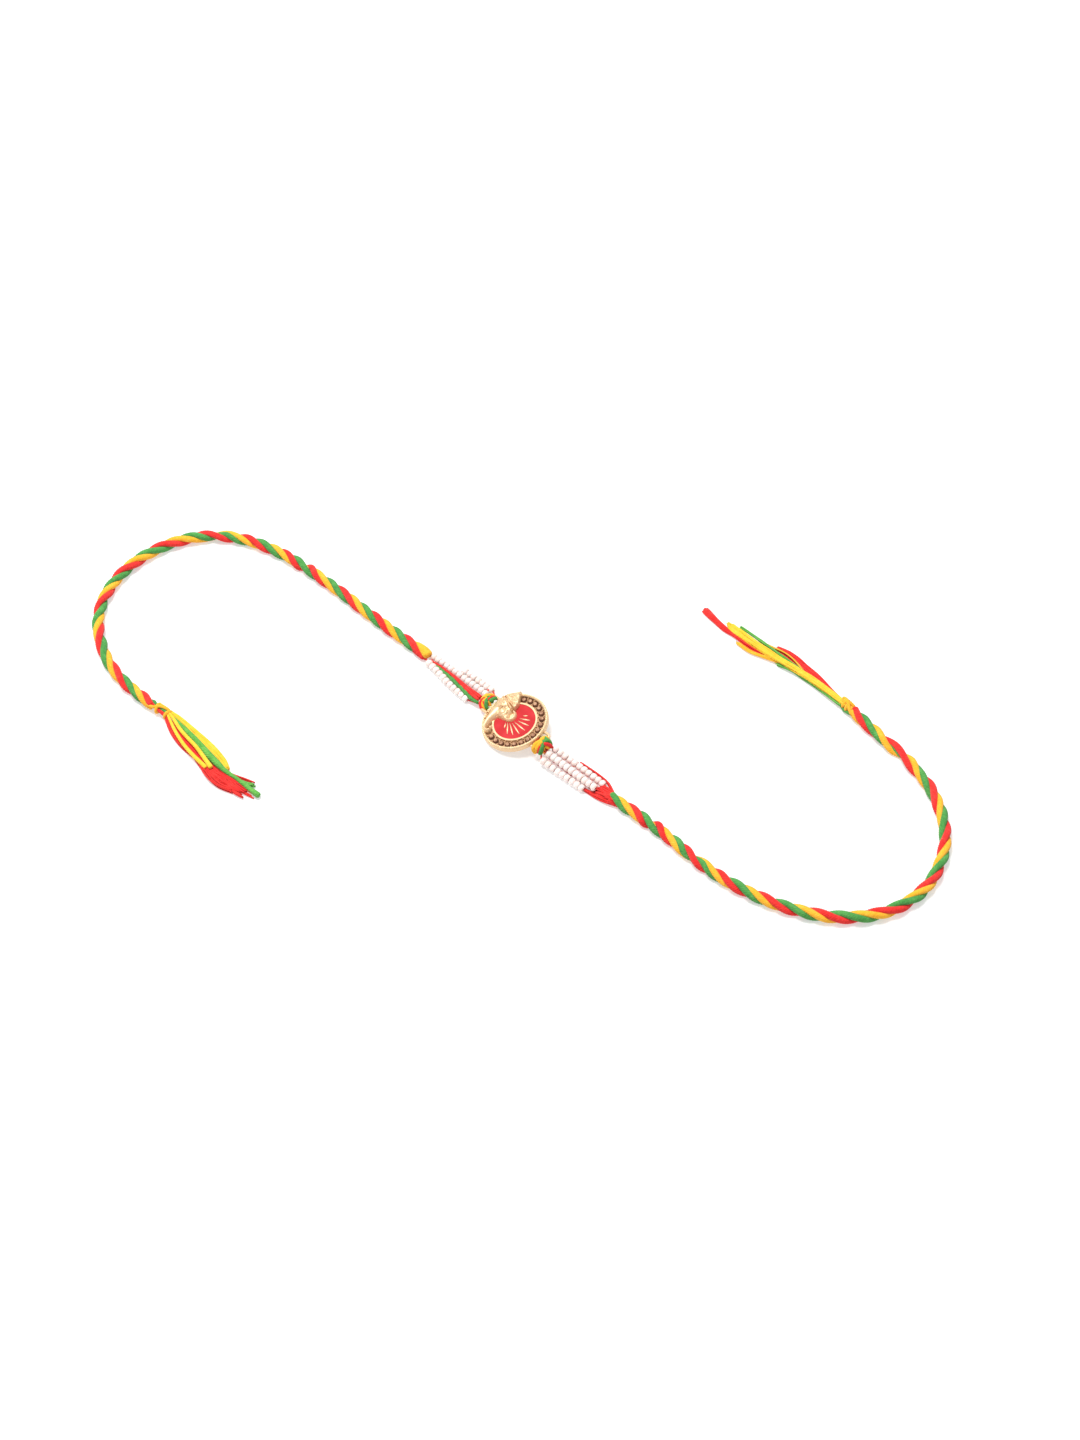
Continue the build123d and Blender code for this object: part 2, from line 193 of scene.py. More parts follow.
def yarn_finish(name, deep, middle, light):
    """Soft spun cotton. The UV map runs along the yarn in millimetres and once round it."""
    made = Finish(name, Roughness=0.85, Sheen_Weight=0.15, Sheen_Roughness=0.5, Specular_IOR_Level=0.2)
    yarn_place = made.node("ShaderNodeSeparateXYZ", made.node("ShaderNodeUVMap", uv_map="UVMap")).node
    along, around, _ = yarn_place.outputs
    angle = made.sum("MULTIPLY", around, whole_turn)
    along_slow = made.sum("MULTIPLY", along, fibre_draw)
    across, upward = made.sum("COSINE", angle), made.sum("SINE", angle)
    fibre_place = made.node("ShaderNodeCombineXYZ", along_slow, across, upward)
    fibre = made.noise(fibre_place, fibre_scale, 3.0, 0.6)
    patch = made.noise(made.own_place(), patch_scale, 2.0)
    fibre_part = made.sum("MULTIPLY", fibre, fibre_share)
    share = made.sum("ADD", fibre_part, made.sum("MULTIPLY", patch, 1 - fibre_share))
    made.paint(made.blend(share, (0.32, deep), (0.5, middle), (0.68, light)))
    made.bump(fibre, 0.7, fibre_height)
    return made.material


def gilt_finish(name, hollows, deep, middle, light, roughness, channel_shade=None):
    """Pale gilt, with painted shade in the hollows that a mesh names and in the recess where the stones
    sit.
    """
    made = Finish(name, Metallic=0.42, Roughness=roughness)
    grain = made.noise(made.own_place(), grain_scale, 4.0, 0.6)
    # painted shade: the hollow attribute darkens the gilt where the relief lies below the height round it
    hollow = made.node("ShaderNodeAttribute", attribute_name="hollow").node.outputs["Fac"]
    share = made.sum("SUBTRACT", grain, made.sum("MULTIPLY", hollow, painted_hollow_shade))
    shade = made.blend(share, (0.05, hollows), (0.35, deep), (0.5, middle), (0.65, light))
    # painted shade: the recess where the stones sit is turned to a darker colour
    if channel_shade:
        from_seat = made.vector("SUBTRACT", made.own_place(), tuple(seat_origin * metre))
        height = made.vector("DOT_PRODUCT", from_seat, tuple(face_way))
        whole = made.vector("DOT_PRODUCT", from_seat, from_seat)
        reach = made.sum("SQRT", made.sum("SUBTRACT", whole, made.sum("MULTIPLY", height, height)))
        middle_r, half_width = (channel_in_r + rim_in_r) / 2, (rim_in_r - channel_in_r) / 2
        inside = made.sum("COMPARE", reach, middle_r * metre, half_width * metre)
        low = made.sum("COMPARE", height, plate_t * metre, channel_depth * metre)
        shade = made.change(made.sum("MULTIPLY", inside, low), shade, channel_shade)
    made.paint(shade)
    made.bump(grain, 0.3, grain_height)
    return made.material


red = yarn_finish("red_cotton", "C41C1C", "E72F2B", "F84D44")
green = yarn_finish("green_cotton", "307536", "4B9647", "6EB461")
yellow = yarn_finish("yellow_cotton", "E29C1E", "F8B42D", "FFCC55")
lemon = yarn_finish("lemon_cotton", "EDB426", "FACA36", "FFDC58")
leaf = yarn_finish("leaf_cotton", "3E8434", "60AA48", "82C05E")
shades = {"red": 0, "green": 1, "yellow": 2, "lemon": 3, "leaf": 4}
cottons = [red, green, yellow, lemon, leaf]

# The first colour of each gilt is painted shade for its hollows, and B08660 is painted shade in the stones'
# recess
gilt = gilt_finish("pale_gilt", "A07248", "DFBA8D", "E4C298", "E8C9A1", 0.42, channel_shade="B08660")
gilt_relief = gilt_finish("relief_gilt", "9C6C42", "DDB88B", "E4C297", "EACDA7", 0.45)
# A lighter copy of the gilt, painted highlight, for the raised ray crests and the rim grains
gilt_painted_highlight = gilt_finish("painted_highlight_gilt", "A87848", "EBCC9B", "F4D8AC", "F9E4C0", 0.40)

enamel = Finish("red_enamel", Roughness=0.42, Specular_IOR_Level=0.22, Coat_Weight=0.06, Coat_Roughness=0.2)
# Soft random patches of lighter red: random tone and painted sheen
sheen_and_tone = enamel.noise(enamel.own_place(), 260.0, 2.0)
enamel.paint(enamel.blend(sheen_and_tone, (0.3, "B41C22"), (0.5, "BE2026"), (0.75, "C93138")))

pearl = Finish("pearl_glass", Roughness=0.24, Coat_Weight=0.7, Coat_Roughness=0.08,
               Subsurface_Weight=0.35, Subsurface_Scale=0.0008, Subsurface_Radius=(1.0, 0.7, 0.6))
cloud = pearl.noise(pearl.own_place(), 520.0, 1.0)
pearl.paint(pearl.blend(cloud, (0.35, "EBD9D1"), (0.5, "EEDAD5"), (0.65, "F2E6E1")))

gem = Finish("brown_glass", Roughness=0.28, Specular_IOR_Level=0.25, Coat_Weight=0.12, Coat_Roughness=0.15)
# Painted reflection: facets that face up, the stones' tables, are painted lighter as if catching the light
# from above. A noise adds random tone between stones and painted glints.
facet_way = gem.node("ShaderNodeNewGeometry").node.outputs["True Normal"]
upward_painted_light = gem.vector("DOT_PRODUCT", facet_way, tuple(face_way))
glint_and_tone = gem.noise(gem.own_place(), 900.0, 1.0)
gem_light_and_tone = gem.sum("ADD", gem.sum("MULTIPLY", upward_painted_light, 0.75), gem.sum("MULTIPLY", glint_and_tone, 0.4))
gem.paint(gem.blend(gem_light_and_tone, (0.55, "502C1E"), (0.80, "704632"), (0.92, "9C7056"), (1.0, "C29A7A")))


# Lines

def lengths(line):
    return np.concatenate(([0.0], np.cumsum(np.linalg.norm(np.diff(line, axis=0), axis=1))))


def even(line, step):
    """The line, read back at even steps."""
    run = lengths(line)
    at = np.linspace(0, run[-1], max(4, round(run[-1] / step) + 1))
    return np.stack([np.interp(at, run, line[:, axis]) for axis in range(3)], axis=1)


def smooth_line(route, step, fineness=40):
    """The line that a yarn follows: a NURBS spline on its route, at even steps."""
    curve = bpy.data.curves.new("route", "CURVE")
    curve.dimensions = "3D"
    curve.resolution_u = fineness
    spline = curve.splines.new("NURBS")
    spline.points.add(len(route) - 1)
    for point, place in zip(spline.points, route):
        point.co = (*place, 1)
    spline.order_u = 3
    spline.use_endpoint_u = True
    bare = bpy.data.meshes.new_from_object(bpy.data.objects.new("route", curve))
    return even(np.array([v.co for v in bare.vertices]), step)


def ways(line):
    """At each point of a line, its course, the level way to its left and the way up from it."""
    course = np.gradient(line, axis=0)
    course /= np.linalg.norm(course, axis=1)[:, None]
    left = np.cross(up, course)
    left /= np.linalg.norm(left, axis=1)[:, None]
    return course, left, np.cross(course, left)


def drift(count, step, reach, rng):
    """A slow seeded wander from -1 to 1 along a line, a knot every so many millimetres."""
    knots = max(4, int(count * step / reach) + 3)
    values = [rng.uniform(-1, 1) for _ in range(knots)]
    x = np.linspace(0, knots - 1, count)
    base = np.floor(x).astype(int).clip(0, knots - 2)
    share = x - base
    share = share * share * (3 - 2 * share)
    values = np.array(values)
    return values[base] * (1 - share) + values[base + 1] * share


# Objects

def add_object(name, data):
    made = bpy.data.objects.new(name, data)
    scene.collection.objects.link(made)
    return made


def add_facing(name, data, place, back):
    """A lamp or camera at a place, with its back to a direction."""
    made = add_object(name, data)
    made.location = place
    made.rotation_mode = "QUATERNION"
    made.rotation_quaternion = Vector(back).to_track_quat("Z", "Y")
    return made


# Yarn

sections = {}
tip_taper = (0.72, 0.95)  # the outer two radii of a yarn's tip, as shares


def section(threads, depth, sides):
    """The outline of a spun yarn: a circle with a shallow groove between its threads."""
    key = (threads, depth, sides)
    if key not in sections:
        outline = bpy.data.curves.new("section", "CURVE")
        outline.dimensions = "2D"
        spline = outline.splines.new("POLY")
        spline.points.add(sides - 1)
        for index, point in enumerate(spline.points):
            angle = -whole_turn * index / sides
            reach = 1 - depth * (1 - math.cos(threads * angle)) / 2
            point.co = (reach * math.cos(angle), reach * math.sin(angle), 0, 1)
        spline.use_cyclic_u = True
        sections[key] = bpy.data.objects.new("section", outline)
    return sections[key]


def lay_yarn(bm, line, radius, shade, threads=4, depth=0.14, sides=12, turn=3.0, closed=False):
    """Adds one yarn along a line. An open one has round tips and a full twist every so many millimetres."""
    run = lengths(line)
    count = len(line)
    radii = np.ones(count) * radius
    if not closed:
        radii[:2] *= tip_taper
        radii[-2:] *= tip_taper[::-1]
    curve = bpy.data.curves.new("yarn", "CURVE")
    curve.dimensions = "3D"
    curve.twist_mode = "MINIMUM"
    curve.bevel_mode = "OBJECT"
    curve.bevel_object = section(threads, depth, sides)
    curve.use_fill_caps = not closed
    spline = curve.splines.new("POLY")
    spline.points.add(count - 1)
    spline.points.foreach_set("co", np.column_stack([line, np.ones(count)]).ravel())
    spline.points.foreach_set("radius", radii)
    spline.points.foreach_set("tilt", np.zeros(count) if closed else -whole_turn * run / turn)
    spline.use_cyclic_u = closed
    carrier = add_object("yarn", curve)
    depsgraph = bpy.context.evaluated_depsgraph_get()
    mesh = bpy.data.meshes.new_from_object(carrier.evaluated_get(depsgraph), depsgraph=depsgraph)
    uv = np.zeros(len(mesh.loops) * 2)
    mesh.uv_layers[0].data.foreach_get("uv", uv)
    uv[0::2] *= run[-1]
    mesh.uv_layers[0].data.foreach_set("uv", uv)
    mesh.polygons.foreach_set("material_index", [shades[shade]] * len(mesh.polygons))
    bm.from_mesh(mesh)
    bpy.data.objects.remove(carrier)
    bpy.data.curves.remove(curve)
    bpy.data.meshes.remove(mesh)


def finish_piece(name, bm, finishes, place=None, nodes=()):
    """Makes the shaped piece an object in metres that rides on the bracelet."""
    bmesh.ops.remove_doubles(bm, verts=bm.verts, dist=weld)
    bmesh.ops.recalc_face_normals(bm, faces=bm.faces)
    if place is not None:
        bm.transform(place)
    bm.transform(Matrix.Scale(metre, 4))
    mesh = bpy.data.meshes.new(name)
    bm.to_mesh(mesh)
    bm.free()
    for material in finishes:
        mesh.materials.append(material)
    mesh.shade_smooth()
    piece = add_object(name, mesh)
    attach(piece, "root")
    if nodes:
        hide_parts(*nodes)
    return piece


# Cords

strand_r = {"red": 0.96, "green": 0.93, "yellow": 0.90}
strand_ring_r = 0.78
strand_step = 0.16
strand_pitch = 12.5
strand_even = 5.0  # the length over which a change of pitch is evened out
strand_lift = 0.25  # how far a strand swells out where it crosses over the next one
strand_sink = 0.55
strand_floor_gap = 0.02
strand_vary = 0.05  # how much a strand's thickness varies, and over what length
strand_vary_run = 9.0

# Where each strand comes uppermost, as seen from the front, in millimetres along the cord
tops_left = {
    "red": [4.6, 17.0, 30.0, 44.0, 52.2, 65.1, 77.0, 90.5, 104.8, 118.1, 132.1, 149.0, 161.1],
    "green": [9.0, 21.4, 34.9, 48.2, 60.4, 72.9, 81.2, 95.9, 110.0, 124.0, 137.8, 154.2],
    "yellow": [0.9, 13.1, 25.8, 39.4, 56.0, 69.1, 85.8, 100.2, 114.0, 128.0, 143.2, 157.5],
}
tops_right = {
    "red": [10.1, 17.2, 28.4, 39.6, 52.9, 67.1, 82.1, 96.4, 110.4, 124.2, 138.1, 156.1],
    "green": [2.9, 13.2, 25.0, 32.5, 44.8, 58.5, 72.9, 88.0, 101.8, 115.6, 129.0, 151.1],
    "yellow": [6.2, 20.8, 35.8, 48.6, 62.9, 77.6, 92.4, 105.9, 119.8, 133.1, 146.5],
}


def strand_turns(run, tops, facing):
    """How many turns a strand has made round its cord at each point, from where it comes uppermost."""
    marks = [tops[0] - strand_pitch] + tops + [tops[-1] + strand_pitch]
    turns = np.interp(run, marks, np.arange(len(marks), dtype=float))
    width = round(strand_even / (run[1] - run[0])) | 1
    padded = np.pad(turns, width // 2, mode="reflect", reflect_type="odd")
    return np.convolve(padded, np.ones(width) / width, mode="valid") + facing


def lay_cord(name, route, tops, node, seed):
    """Three strands twisted along a route. Each comes uppermost where the photo shows it."""
    line = smooth_line([(x, y, cord_z) for x, y in route], strand_step, fineness=120)
    run = lengths(line)
    _, left, over = ways(line)
    view = camera_place - line
    facing = np.arctan2((view * over).sum(axis=1), (view * left).sum(axis=1)) / whole_turn
    rng = random.Random(seed)
    turns = {shade: strand_turns(run, tops[shade], facing) for shade in tops}
    reach = {shade: np.full(len(line), strand_ring_r) for shade in tops}
    for outer, inner in (("red", "yellow"), ("red", "green"), ("yellow", "green")):
        close = np.cos(whole_turn * (turns[outer] - turns[inner])).clip(0, 1)
        reach[outer] = reach[outer] * (1 + strand_lift * close)
        reach[inner] = reach[inner] * (1 - strand_sink * close)
    bm = bmesh.new()
    for shade in tops:
        angle = turns[shade] * whole_turn
        radius = strand_r[shade] * (1 + strand_vary * drift(len(line), strand_step, strand_vary_run, rng))
        aside, lift = reach[shade] * np.cos(angle), reach[shade] * np.sin(angle)
        strand = line + left * aside[:, None] + over * lift[:, None]
        strand[:, 2] = np.maximum(strand[:, 2], radius + strand_floor_gap)
        lay_yarn(bm, strand, radius, shade, threads=6, depth=0.13, sides=18, turn=3.6)
    piece = finish_piece(name, bm, cottons, nodes=[node])
    return piece, line, run[-1]


cord_left, line_left, length_left = lay_cord("cord_left_strands", route_left, tops_left, "cord_left", 11)
cord_right, line_right, length_right = lay_cord(
    "cord_right_strands", route_right, tops_right, "cord_right", 12,
)


# Beads

def bead_shape():
    """One small glass bead, 2.2 mm across, made by turning half its section about its hole."""
    outline = [(0.30, -0.46), (0.50, -0.76), (0.83, -0.72), (1.03, -0.41), (1.10, 0.0),
               (1.03, 0.41), (0.83, 0.72), (0.50, 0.76), (0.30, 0.46)]
    bm = bmesh.new()
    corners = [bm.verts.new((r, 0, z)) for r, z in outline]
    edges = [bm.edges.new((a, b)) for a, b in zip(corners, corners[1:] + corners[:1])]
    bmesh.ops.spin(bm, geom=corners + edges, axis=(0, 0, 1), cent=(0, 0, 0), angle=whole_turn,
                   steps=16, use_merge=True)
    bmesh.ops.recalc_face_normals(bm, faces=bm.faces)
    mesh = bpy.data.meshes.new("bead")
    bm.to_mesh(mesh)
    bm.free()
    return mesh


bead = bead_shape()
bead_len = 1.53
bead_rest = 1.13
bead_size = 0.985
bead_vary = 0.03
bead_tilt = 0.07
thread_r = 0.22

# How each thread comes to its first bead and goes on from its last
thread_ends = {
    "left_1": ([(-35.6, 0.5, 1.5)], [(-11.6, 1.9, 2.2), (-10.9, 1.6, 2.6)]),
    "left_2": ([(-23.5, 2.2, 0.4), (-24.1, 3.1, 0.5)], [(-11.6, 3.4, 1.9), (-10.6, 2.6, 2.4)]),
    "left_3": ([(-35.4, -0.4, 1.3)], [(-14.4, -2.2, 1.2), (-12.8, -1.7, 1.4), (-11.6, -1.4, 1.9)]),
    "right_1": ([(33.4, 2.0, 1.7), (32.0, 2.6, 1.4)], [(12.2, 1.0, 3.2), (11.9, 0.5, 3.9)]),
    "right_2": ([(33.4, 1.0, 1.8), (31.6, 0.4, 2.1)], [(12.1, -1.4, 3.1), (11.6, -1.6, 3.8)]),
    "right_3": ([(31.4, -0.4, 0.9), (29.4, -1.3, 0.9)], [(12.3, -2.6, 2.4), (11.8, -1.9, 3.0)]),
}
bead_counts = {"left_1": 13, "left_2": 7, "left_3": 11, "right_1": 11, "right_2": 11, "right_3": 9}
pearl_index = len(cottons)


def lay_beads(key, seed):
    """A string of beads on its thread, each a little off true."""
    line = smooth_line(bead_routes[key], 0.1)
    line[:, 2] = np.maximum(line[:, 2], bead_rest)
    run = lengths(line)
    count = bead_counts[key]
    course, _, _ = ways(line)
    rng = random.Random(seed)
    bm = bmesh.new()
    before, after = thread_ends[key]
    thread = smooth_line([*before, *map(tuple, line[::20]), tuple(line[-1]), *after], 0.15)
    lay_yarn(bm, thread, thread_r, "red", sides=8)
    pitch = run[-1] / count
    for index in range(count):
        at = int(np.searchsorted(run, pitch * (index + 0.5)))
        size = bead_size + bead_vary * rng.uniform(-1, 1)
        thick = min(1.04, pitch / bead_len) * (1 - bead_vary + bead_vary * rng.uniform(-1, 1))
        way = Vector(course[at]) + Vector([bead_tilt * rng.uniform(-1, 1) for _ in range(3)])
        turn = way.to_track_quat("Z", "Y").to_matrix().to_4x4()
        place = Matrix.Translation(line[at]) @ turn @ Matrix.Diagonal((size, size, thick, 1))
        first = len(bm.verts)
        bm.from_mesh(bead)
        bm.verts.ensure_lookup_table()
        bmesh.ops.transform(bm, matrix=place, verts=bm.verts[first:])
        bm.faces.ensure_lookup_table()
        for face in bm.faces[-len(bead.polygons):]:
            face.material_index = pearl_index
    finish_piece(f"beads_{key}", bm, cottons + [pearl.material], nodes=[f"bead_string_{key}"])


for seed, key in enumerate(bead_routes, start=21):
    lay_beads(key, seed)


# Bare yarns beside the beads

lock_step = 0.45
lock_floor_gap = 0.03
lock_wander = 0.22  # a yarn's wander aside in half widths, and the length that it takes
lock_wander_run = 7.0
lock_bob = 0.40  # its wander up and down in layers, and the length that it takes
lock_bob_run = 6.0
layer_gap = 1.6  # in yarn radii


def lay_lock(bm, shade, spine, widths, count, yarn_r, seed, ragged=0.0, layers=2, turn=0, rise=0.8, slim=1):
    """A flat bunch of yarns along a spine, its half widths given at even shares of it.

    The ends are cut back by up to a share, ragged. A yarn starts with a share, slim, of its thickness.
    A turn twists the bunch once every so many millimetres, and rise sets how far apart its layers lie.
    """
    rng = random.Random(seed)
    line = smooth_line(spine, lock_step)
    run = lengths(line)
    _, left, over = ways(line)
    spread = np.interp(run / run[-1], np.linspace(0, 1, len(widths)), widths)
    thick = yarn_r * np.interp(run / run[-1], [0, 0.5], [slim, 1.0])
    for index in range(count):
        aside = 2 * (index + 0.5) / count - 1 + rng.uniform(-0.5, 0.5) / count
        lift = ((index % layers) - (layers - 1) / 2) * rise
        wander = lock_wander * drift(len(line), lock_step, lock_wander_run, rng)
        bob = lock_bob * drift(len(line), lock_step, lock_bob_run, rng)
        a, b = (aside + wander) * spread, (lift + bob) * yarn_r * layer_gap
        if turn:
            angle = whole_turn * (run / turn)
            b = (lift * layer_gap + 0.3 * bob) * spread * 0.8
            a, b = a * np.cos(angle) - b * np.sin(angle), a * np.sin(angle) + b * np.cos(angle)
        yarn = line + left * a[:, None] + over * b[:, None]
        yarn[:, 2] = np.maximum(yarn[:, 2], yarn_r + lock_floor_gap)
        kept = max(5, round(len(yarn) * (1 - ragged * rng.random())))
        lay_yarn(bm, yarn[:kept], thick[:kept], shade, sides=9, threads=3, turn=2.0)


def lay_rope(bm, shade, spine, radii, threads=7, turn=4.5, depth=0.12):
    """One thick yarn along a spine, its radii given at even shares of it."""
    line = smooth_line(spine, 0.25)
    run = lengths(line)
    thick = np.interp(run / run[-1], np.linspace(0, 1, len(radii)), radii)
    lay_yarn(bm, line, thick, shade, threads=threads, depth=depth, sides=3 * threads, turn=turn)


bm = bmesh.new()
lay_lock(bm, "red", [
    (-33.4, 0.0, 0.5), (-31.9, -0.05, 0.8), (-30.1, 0.0, 1.1), (-28.4, 0.05, 1.4), (-26.4, -0.05, 1.7),
    (-24.4, -0.1, 1.9), (-22.4, -0.25, 2.0), (-20.1, -0.55, 2.1), (-18.2, -0.75, 2.2), (-16.4, -0.8, 2.25),
    (-14.2, -0.8, 2.3), (-12.8, -0.7, 2.3),
], widths=[0.05, 0.08, 0.12, 0.2, 0.32, 0.5, 0.65, 0.75, 0.8], count=10, yarn_r=0.32, seed=41, slim=0.5)
lay_lock(bm, "green", [
    (-32.4, -0.2, 0.6), (-31.0, -0.35, 0.9), (-28.9, -0.55, 1.3), (-27.3, -0.65, 1.55),
    (-25.1, -0.85, 1.75), (-22.9, -1.1, 1.95), (-20.8, -1.4, 2.05), (-18.9, -1.65, 2.05),
    (-16.8, -1.9, 2.05), (-15.0, -2.05, 2.0), (-13.3, -1.95, 1.95), (-12.2, -1.7, 1.9),
], widths=[0.10, 0.18, 0.26, 0.31, 0.34, 0.36, 0.36, 0.28], count=3, yarn_r=0.44, seed=42, turn=6.0,
         rise=0.5, slim=0.6)
lay_rope(bm, "yellow", [
    (-39.0, 0.6, 2.2), (-37.2, 0.6, 2.3), (-35.6, 0.4, 2.15), (-33.7, 0.1, 1.85),
], radii=[0.7, 1.0, 1.35, 1.45])
lay_rope(bm, "red", [
    (-38.6, -0.9, 1.3), (-36.6, -1.1, 1.4), (-34.6, -0.9, 1.2),
], radii=[0.85, 0.85], threads=6, turn=3.6)
lay_yarn(
    bm, smooth_line([(-14.6, 1.9, 1.5), (-14.0, 2.6, 1.6), (-13.7, 3.3, 1.8), (-13.6, 4.0, 1.9)], 0.2), 0.3,
    "red",
)
finish_piece("bare_yarns_left", bm, cottons, nodes=["yarn_bundle_left"])

bm = bmesh.new()
lay_lock(bm, "red", [
    (34.2, 1.2, 1.3), (30.0, 0.6, 0.6), (22.0, 0.25, 0.45), (14.4, -0.3, 0.5), (12.6, -0.5, 1.1),
    (11.7, -0.8, 2.0),
], widths=[0.9, 0.9, 0.7, 0.6, 0.4], count=5, yarn_r=0.28, seed=44)
lay_lock(bm, "red", [
    (36.6, 1.2, 1.9), (35.0, 1.3, 1.9), (33.4, 1.25, 1.6), (31.8, 1.15, 1.2), (30.0, 1.0, 0.85),
], widths=[0.6, 0.9, 1.25, 1.6, 1.8], count=36, yarn_r=0.32, seed=45, ragged=0.05, layers=3, rise=0.9)
lay_lock(bm, "red", [
    (36.2, 1.0, 1.2), (34.4, 0.9, 1.0), (32.6, 0.7, 0.8), (30.6, 0.5, 0.7),
], widths=[0.8, 1.1, 1.4, 1.5], count=9, yarn_r=0.42, seed=48, ragged=0.05)
lay_lock(bm, "red", [
    (34.6, 2.0, 2.0), (32.8, 2.9, 2.0), (30.6, 3.9, 1.7), (28.0, 4.2, 1.4), (24.0, 4.2, 1.2),
    (20.6, 3.7, 1.3),
], widths=[0.3, 0.28, 0.2, 0.12, 0.1], count=3, yarn_r=0.26, seed=46)
lay_lock(bm, "red", [
    (35.6, 0.3, 1.0), (33.8, -0.2, 0.9), (32.0, -0.6, 0.8), (29.8, -1.0, 0.6), (27.5, -1.4, 0.5),
    (24.6, -1.8, 0.4),
], widths=[0.5, 0.6, 0.55, 0.35, 0.15], count=7, yarn_r=0.30, seed=47)
finish_piece("bare_yarns_right", bm, cottons, nodes=["yarn_bundle_right"])


# Yarn tied over the side rings

bar_x = 10.91
loop_reach = 0.92
loop_pitch = 1.05
loop_step = 0.22
loop_lean = math.radians(5.0)


def loop_line(centre, drop, turn):
    """A closed loop that stands across the bar: a circle, or a slot where it hangs down."""
    top = [(loop_reach * math.cos(a), 0, loop_reach * math.sin(a)) for a in np.linspace(0, math.pi, 16)]
    low = [(-x, 0, -drop - z) for x, _, z in top]
    line = even(np.array(top + low + top[:1]), loop_step)[:-1]
    return np.array([[*(turn @ Vector(p) + Vector(centre))] for p in line])


def tie_hitch(side, bar_z, drop, loops, strands, node):
    """The inner turns round the bar, and over them the strands of the hitch that the arm's yarns make."""
    bm = bmesh.new()
    for index, (shade, thick) in enumerate(loops):
        y = (index - (len(loops) - 1) / 2) * loop_pitch
        line = loop_line((side * bar_x, y, bar_z), drop, Matrix.Rotation(loop_lean, 3, "Y"))
        lay_yarn(bm, line, thick, shade, threads=5, depth=0.12, sides=15, closed=True)
    bm.transform(seat)
    for shade, thick, points in strands:
        lay_yarn(bm, smooth_line(points, 0.2), thick, shade, threads=5, depth=0.12, sides=15)
    finish_piece(f"ring_tie_{node}", bm, cottons, nodes=[f"ring_knot_{node}"])


hitch_left = [
    ("red", 0.45, [
        (-11.7, 0.2, 3.2), (-11.9, -0.8, 3.0), (-11.8, -1.6, 2.6), (-11.2, -2.2, 2.2), (-10.4, -2.4, 1.7),
        (-9.8, -2.1, 1.3), (-9.2, -1.6, 1.0), (-8.9, -0.9, 0.8),
    ]),
    ("yellow", 0.42, [
        (-11.2, 0.5, 3.3), (-11.4, -0.6, 3.1), (-11.2, -1.3, 2.7), (-10.7, -1.8, 2.3), (-10.1, -1.8, 1.8),
        (-9.5, -1.6, 1.3), (-9.0, -1.0, 1.0),
    ]),
    ("green", 0.56, [
        (-11.1, 0.4, 3.1), (-10.7, -0.4, 3.2), (-10.2, -1.0, 2.9), (-9.8, -1.3, 2.4), (-9.5, -1.3, 1.9),
        (-9.3, -1.2, 1.4), (-9.2, -1.0, 0.9),
    ]),
    ("yellow", 0.48, [
        (-11.8, -0.8, 2.9), (-12.0, 0.5, 3.2), (-11.6, 1.3, 3.3), (-11.2, 2.1, 3.1), (-10.6, 2.5, 2.6),
        (-9.7, 2.9, 1.8),
    ]),
    ("red", 0.32, [
        (-10.5, 0.0, 3.3), (-10.6, 0.9, 3.4), (-10.5, 1.9, 3.2), (-10.2, 2.6, 2.8), (-9.5, 2.9, 2.2),
    ]),
    ("green", 0.52, [
        (-10.0, 0.2, 3.1), (-9.8, 0.8, 3.4), (-9.8, 1.8, 3.1), (-9.7, 2.6, 2.6), (-9.5, 3.1, 2.0),
    ]),
    ("yellow", 0.40, [(-11.2, 0.7, 3.0), (-10.5, 0.2, 2.7), (-9.8, 0.0, 2.3), (-9.4, -0.1, 1.8)]),
    ("lemon", 0.22, [(-11.9, -1.6, 2.4), (-12.4, -0.7, 2.7), (-12.5, 0.5, 3.0), (-12.3, 1.5, 3.1)]),
]
hitch_right = [
    ("yellow", 0.62, [
        (10.7, -0.6, 5.5), (10.3, -1.6, 5.4), (10.0, -2.6, 5.0), (10.0, -3.2, 4.2), (10.2, -3.3, 3.3),
        (10.5, -2.8, 2.2),
    ]),
    ("yellow", 0.58, [
        (11.0, -0.8, 5.6), (10.9, -1.7, 5.4), (10.8, -2.5, 4.9), (10.8, -2.9, 4.1), (10.9, -2.8, 3.0),
    ]),
    ("red", 0.36, [
        (11.0, -0.9, 5.5), (11.3, -1.9, 5.3), (11.4, -2.5, 4.7), (11.4, -2.8, 3.9), (11.3, -2.9, 2.9),
    ]),
    ("green", 0.50, [
        (11.2, -0.8, 5.5), (11.8, -1.5, 5.3), (11.9, -2.1, 4.8), (12.0, -2.5, 4.0), (11.9, -2.8, 2.8),
    ]),
    ("green", 0.40, [(11.7, -1.1, 4.8), (12.0, -1.8, 3.9), (12.1, -2.5, 2.6)]),
    ("red", 0.28, [(9.7, -3.0, 4.2), (9.6, -2.2, 4.8), (9.9, -1.4, 5.2), (10.4, -0.7, 5.4)]),
    ("yellow", 0.62, [
        (10.3, -0.9, 5.2), (10.3, -0.2, 5.5), (10.4, 0.8, 5.3), (10.7, 1.4, 4.8), (11.1, 1.5, 3.9),
    ]),
    ("green", 0.58, [
        (11.1, -1.1, 5.4), (11.3, -0.2, 5.6), (11.5, 0.7, 5.3), (12.0, 1.1, 4.6), (12.3, 1.1, 3.4),
    ]),
    ("red", 0.50, [
        (11.5, -1.1, 5.4), (12.1, -0.6, 5.4), (12.5, 0.1, 4.9), (12.8, 0.6, 4.1), (12.9, 0.9, 3.2),
    ]),
    ("yellow", 0.42, [(12.0, -0.9, 4.8), (12.5, -0.5, 4.2), (12.8, 0.0, 3.5)]),
]
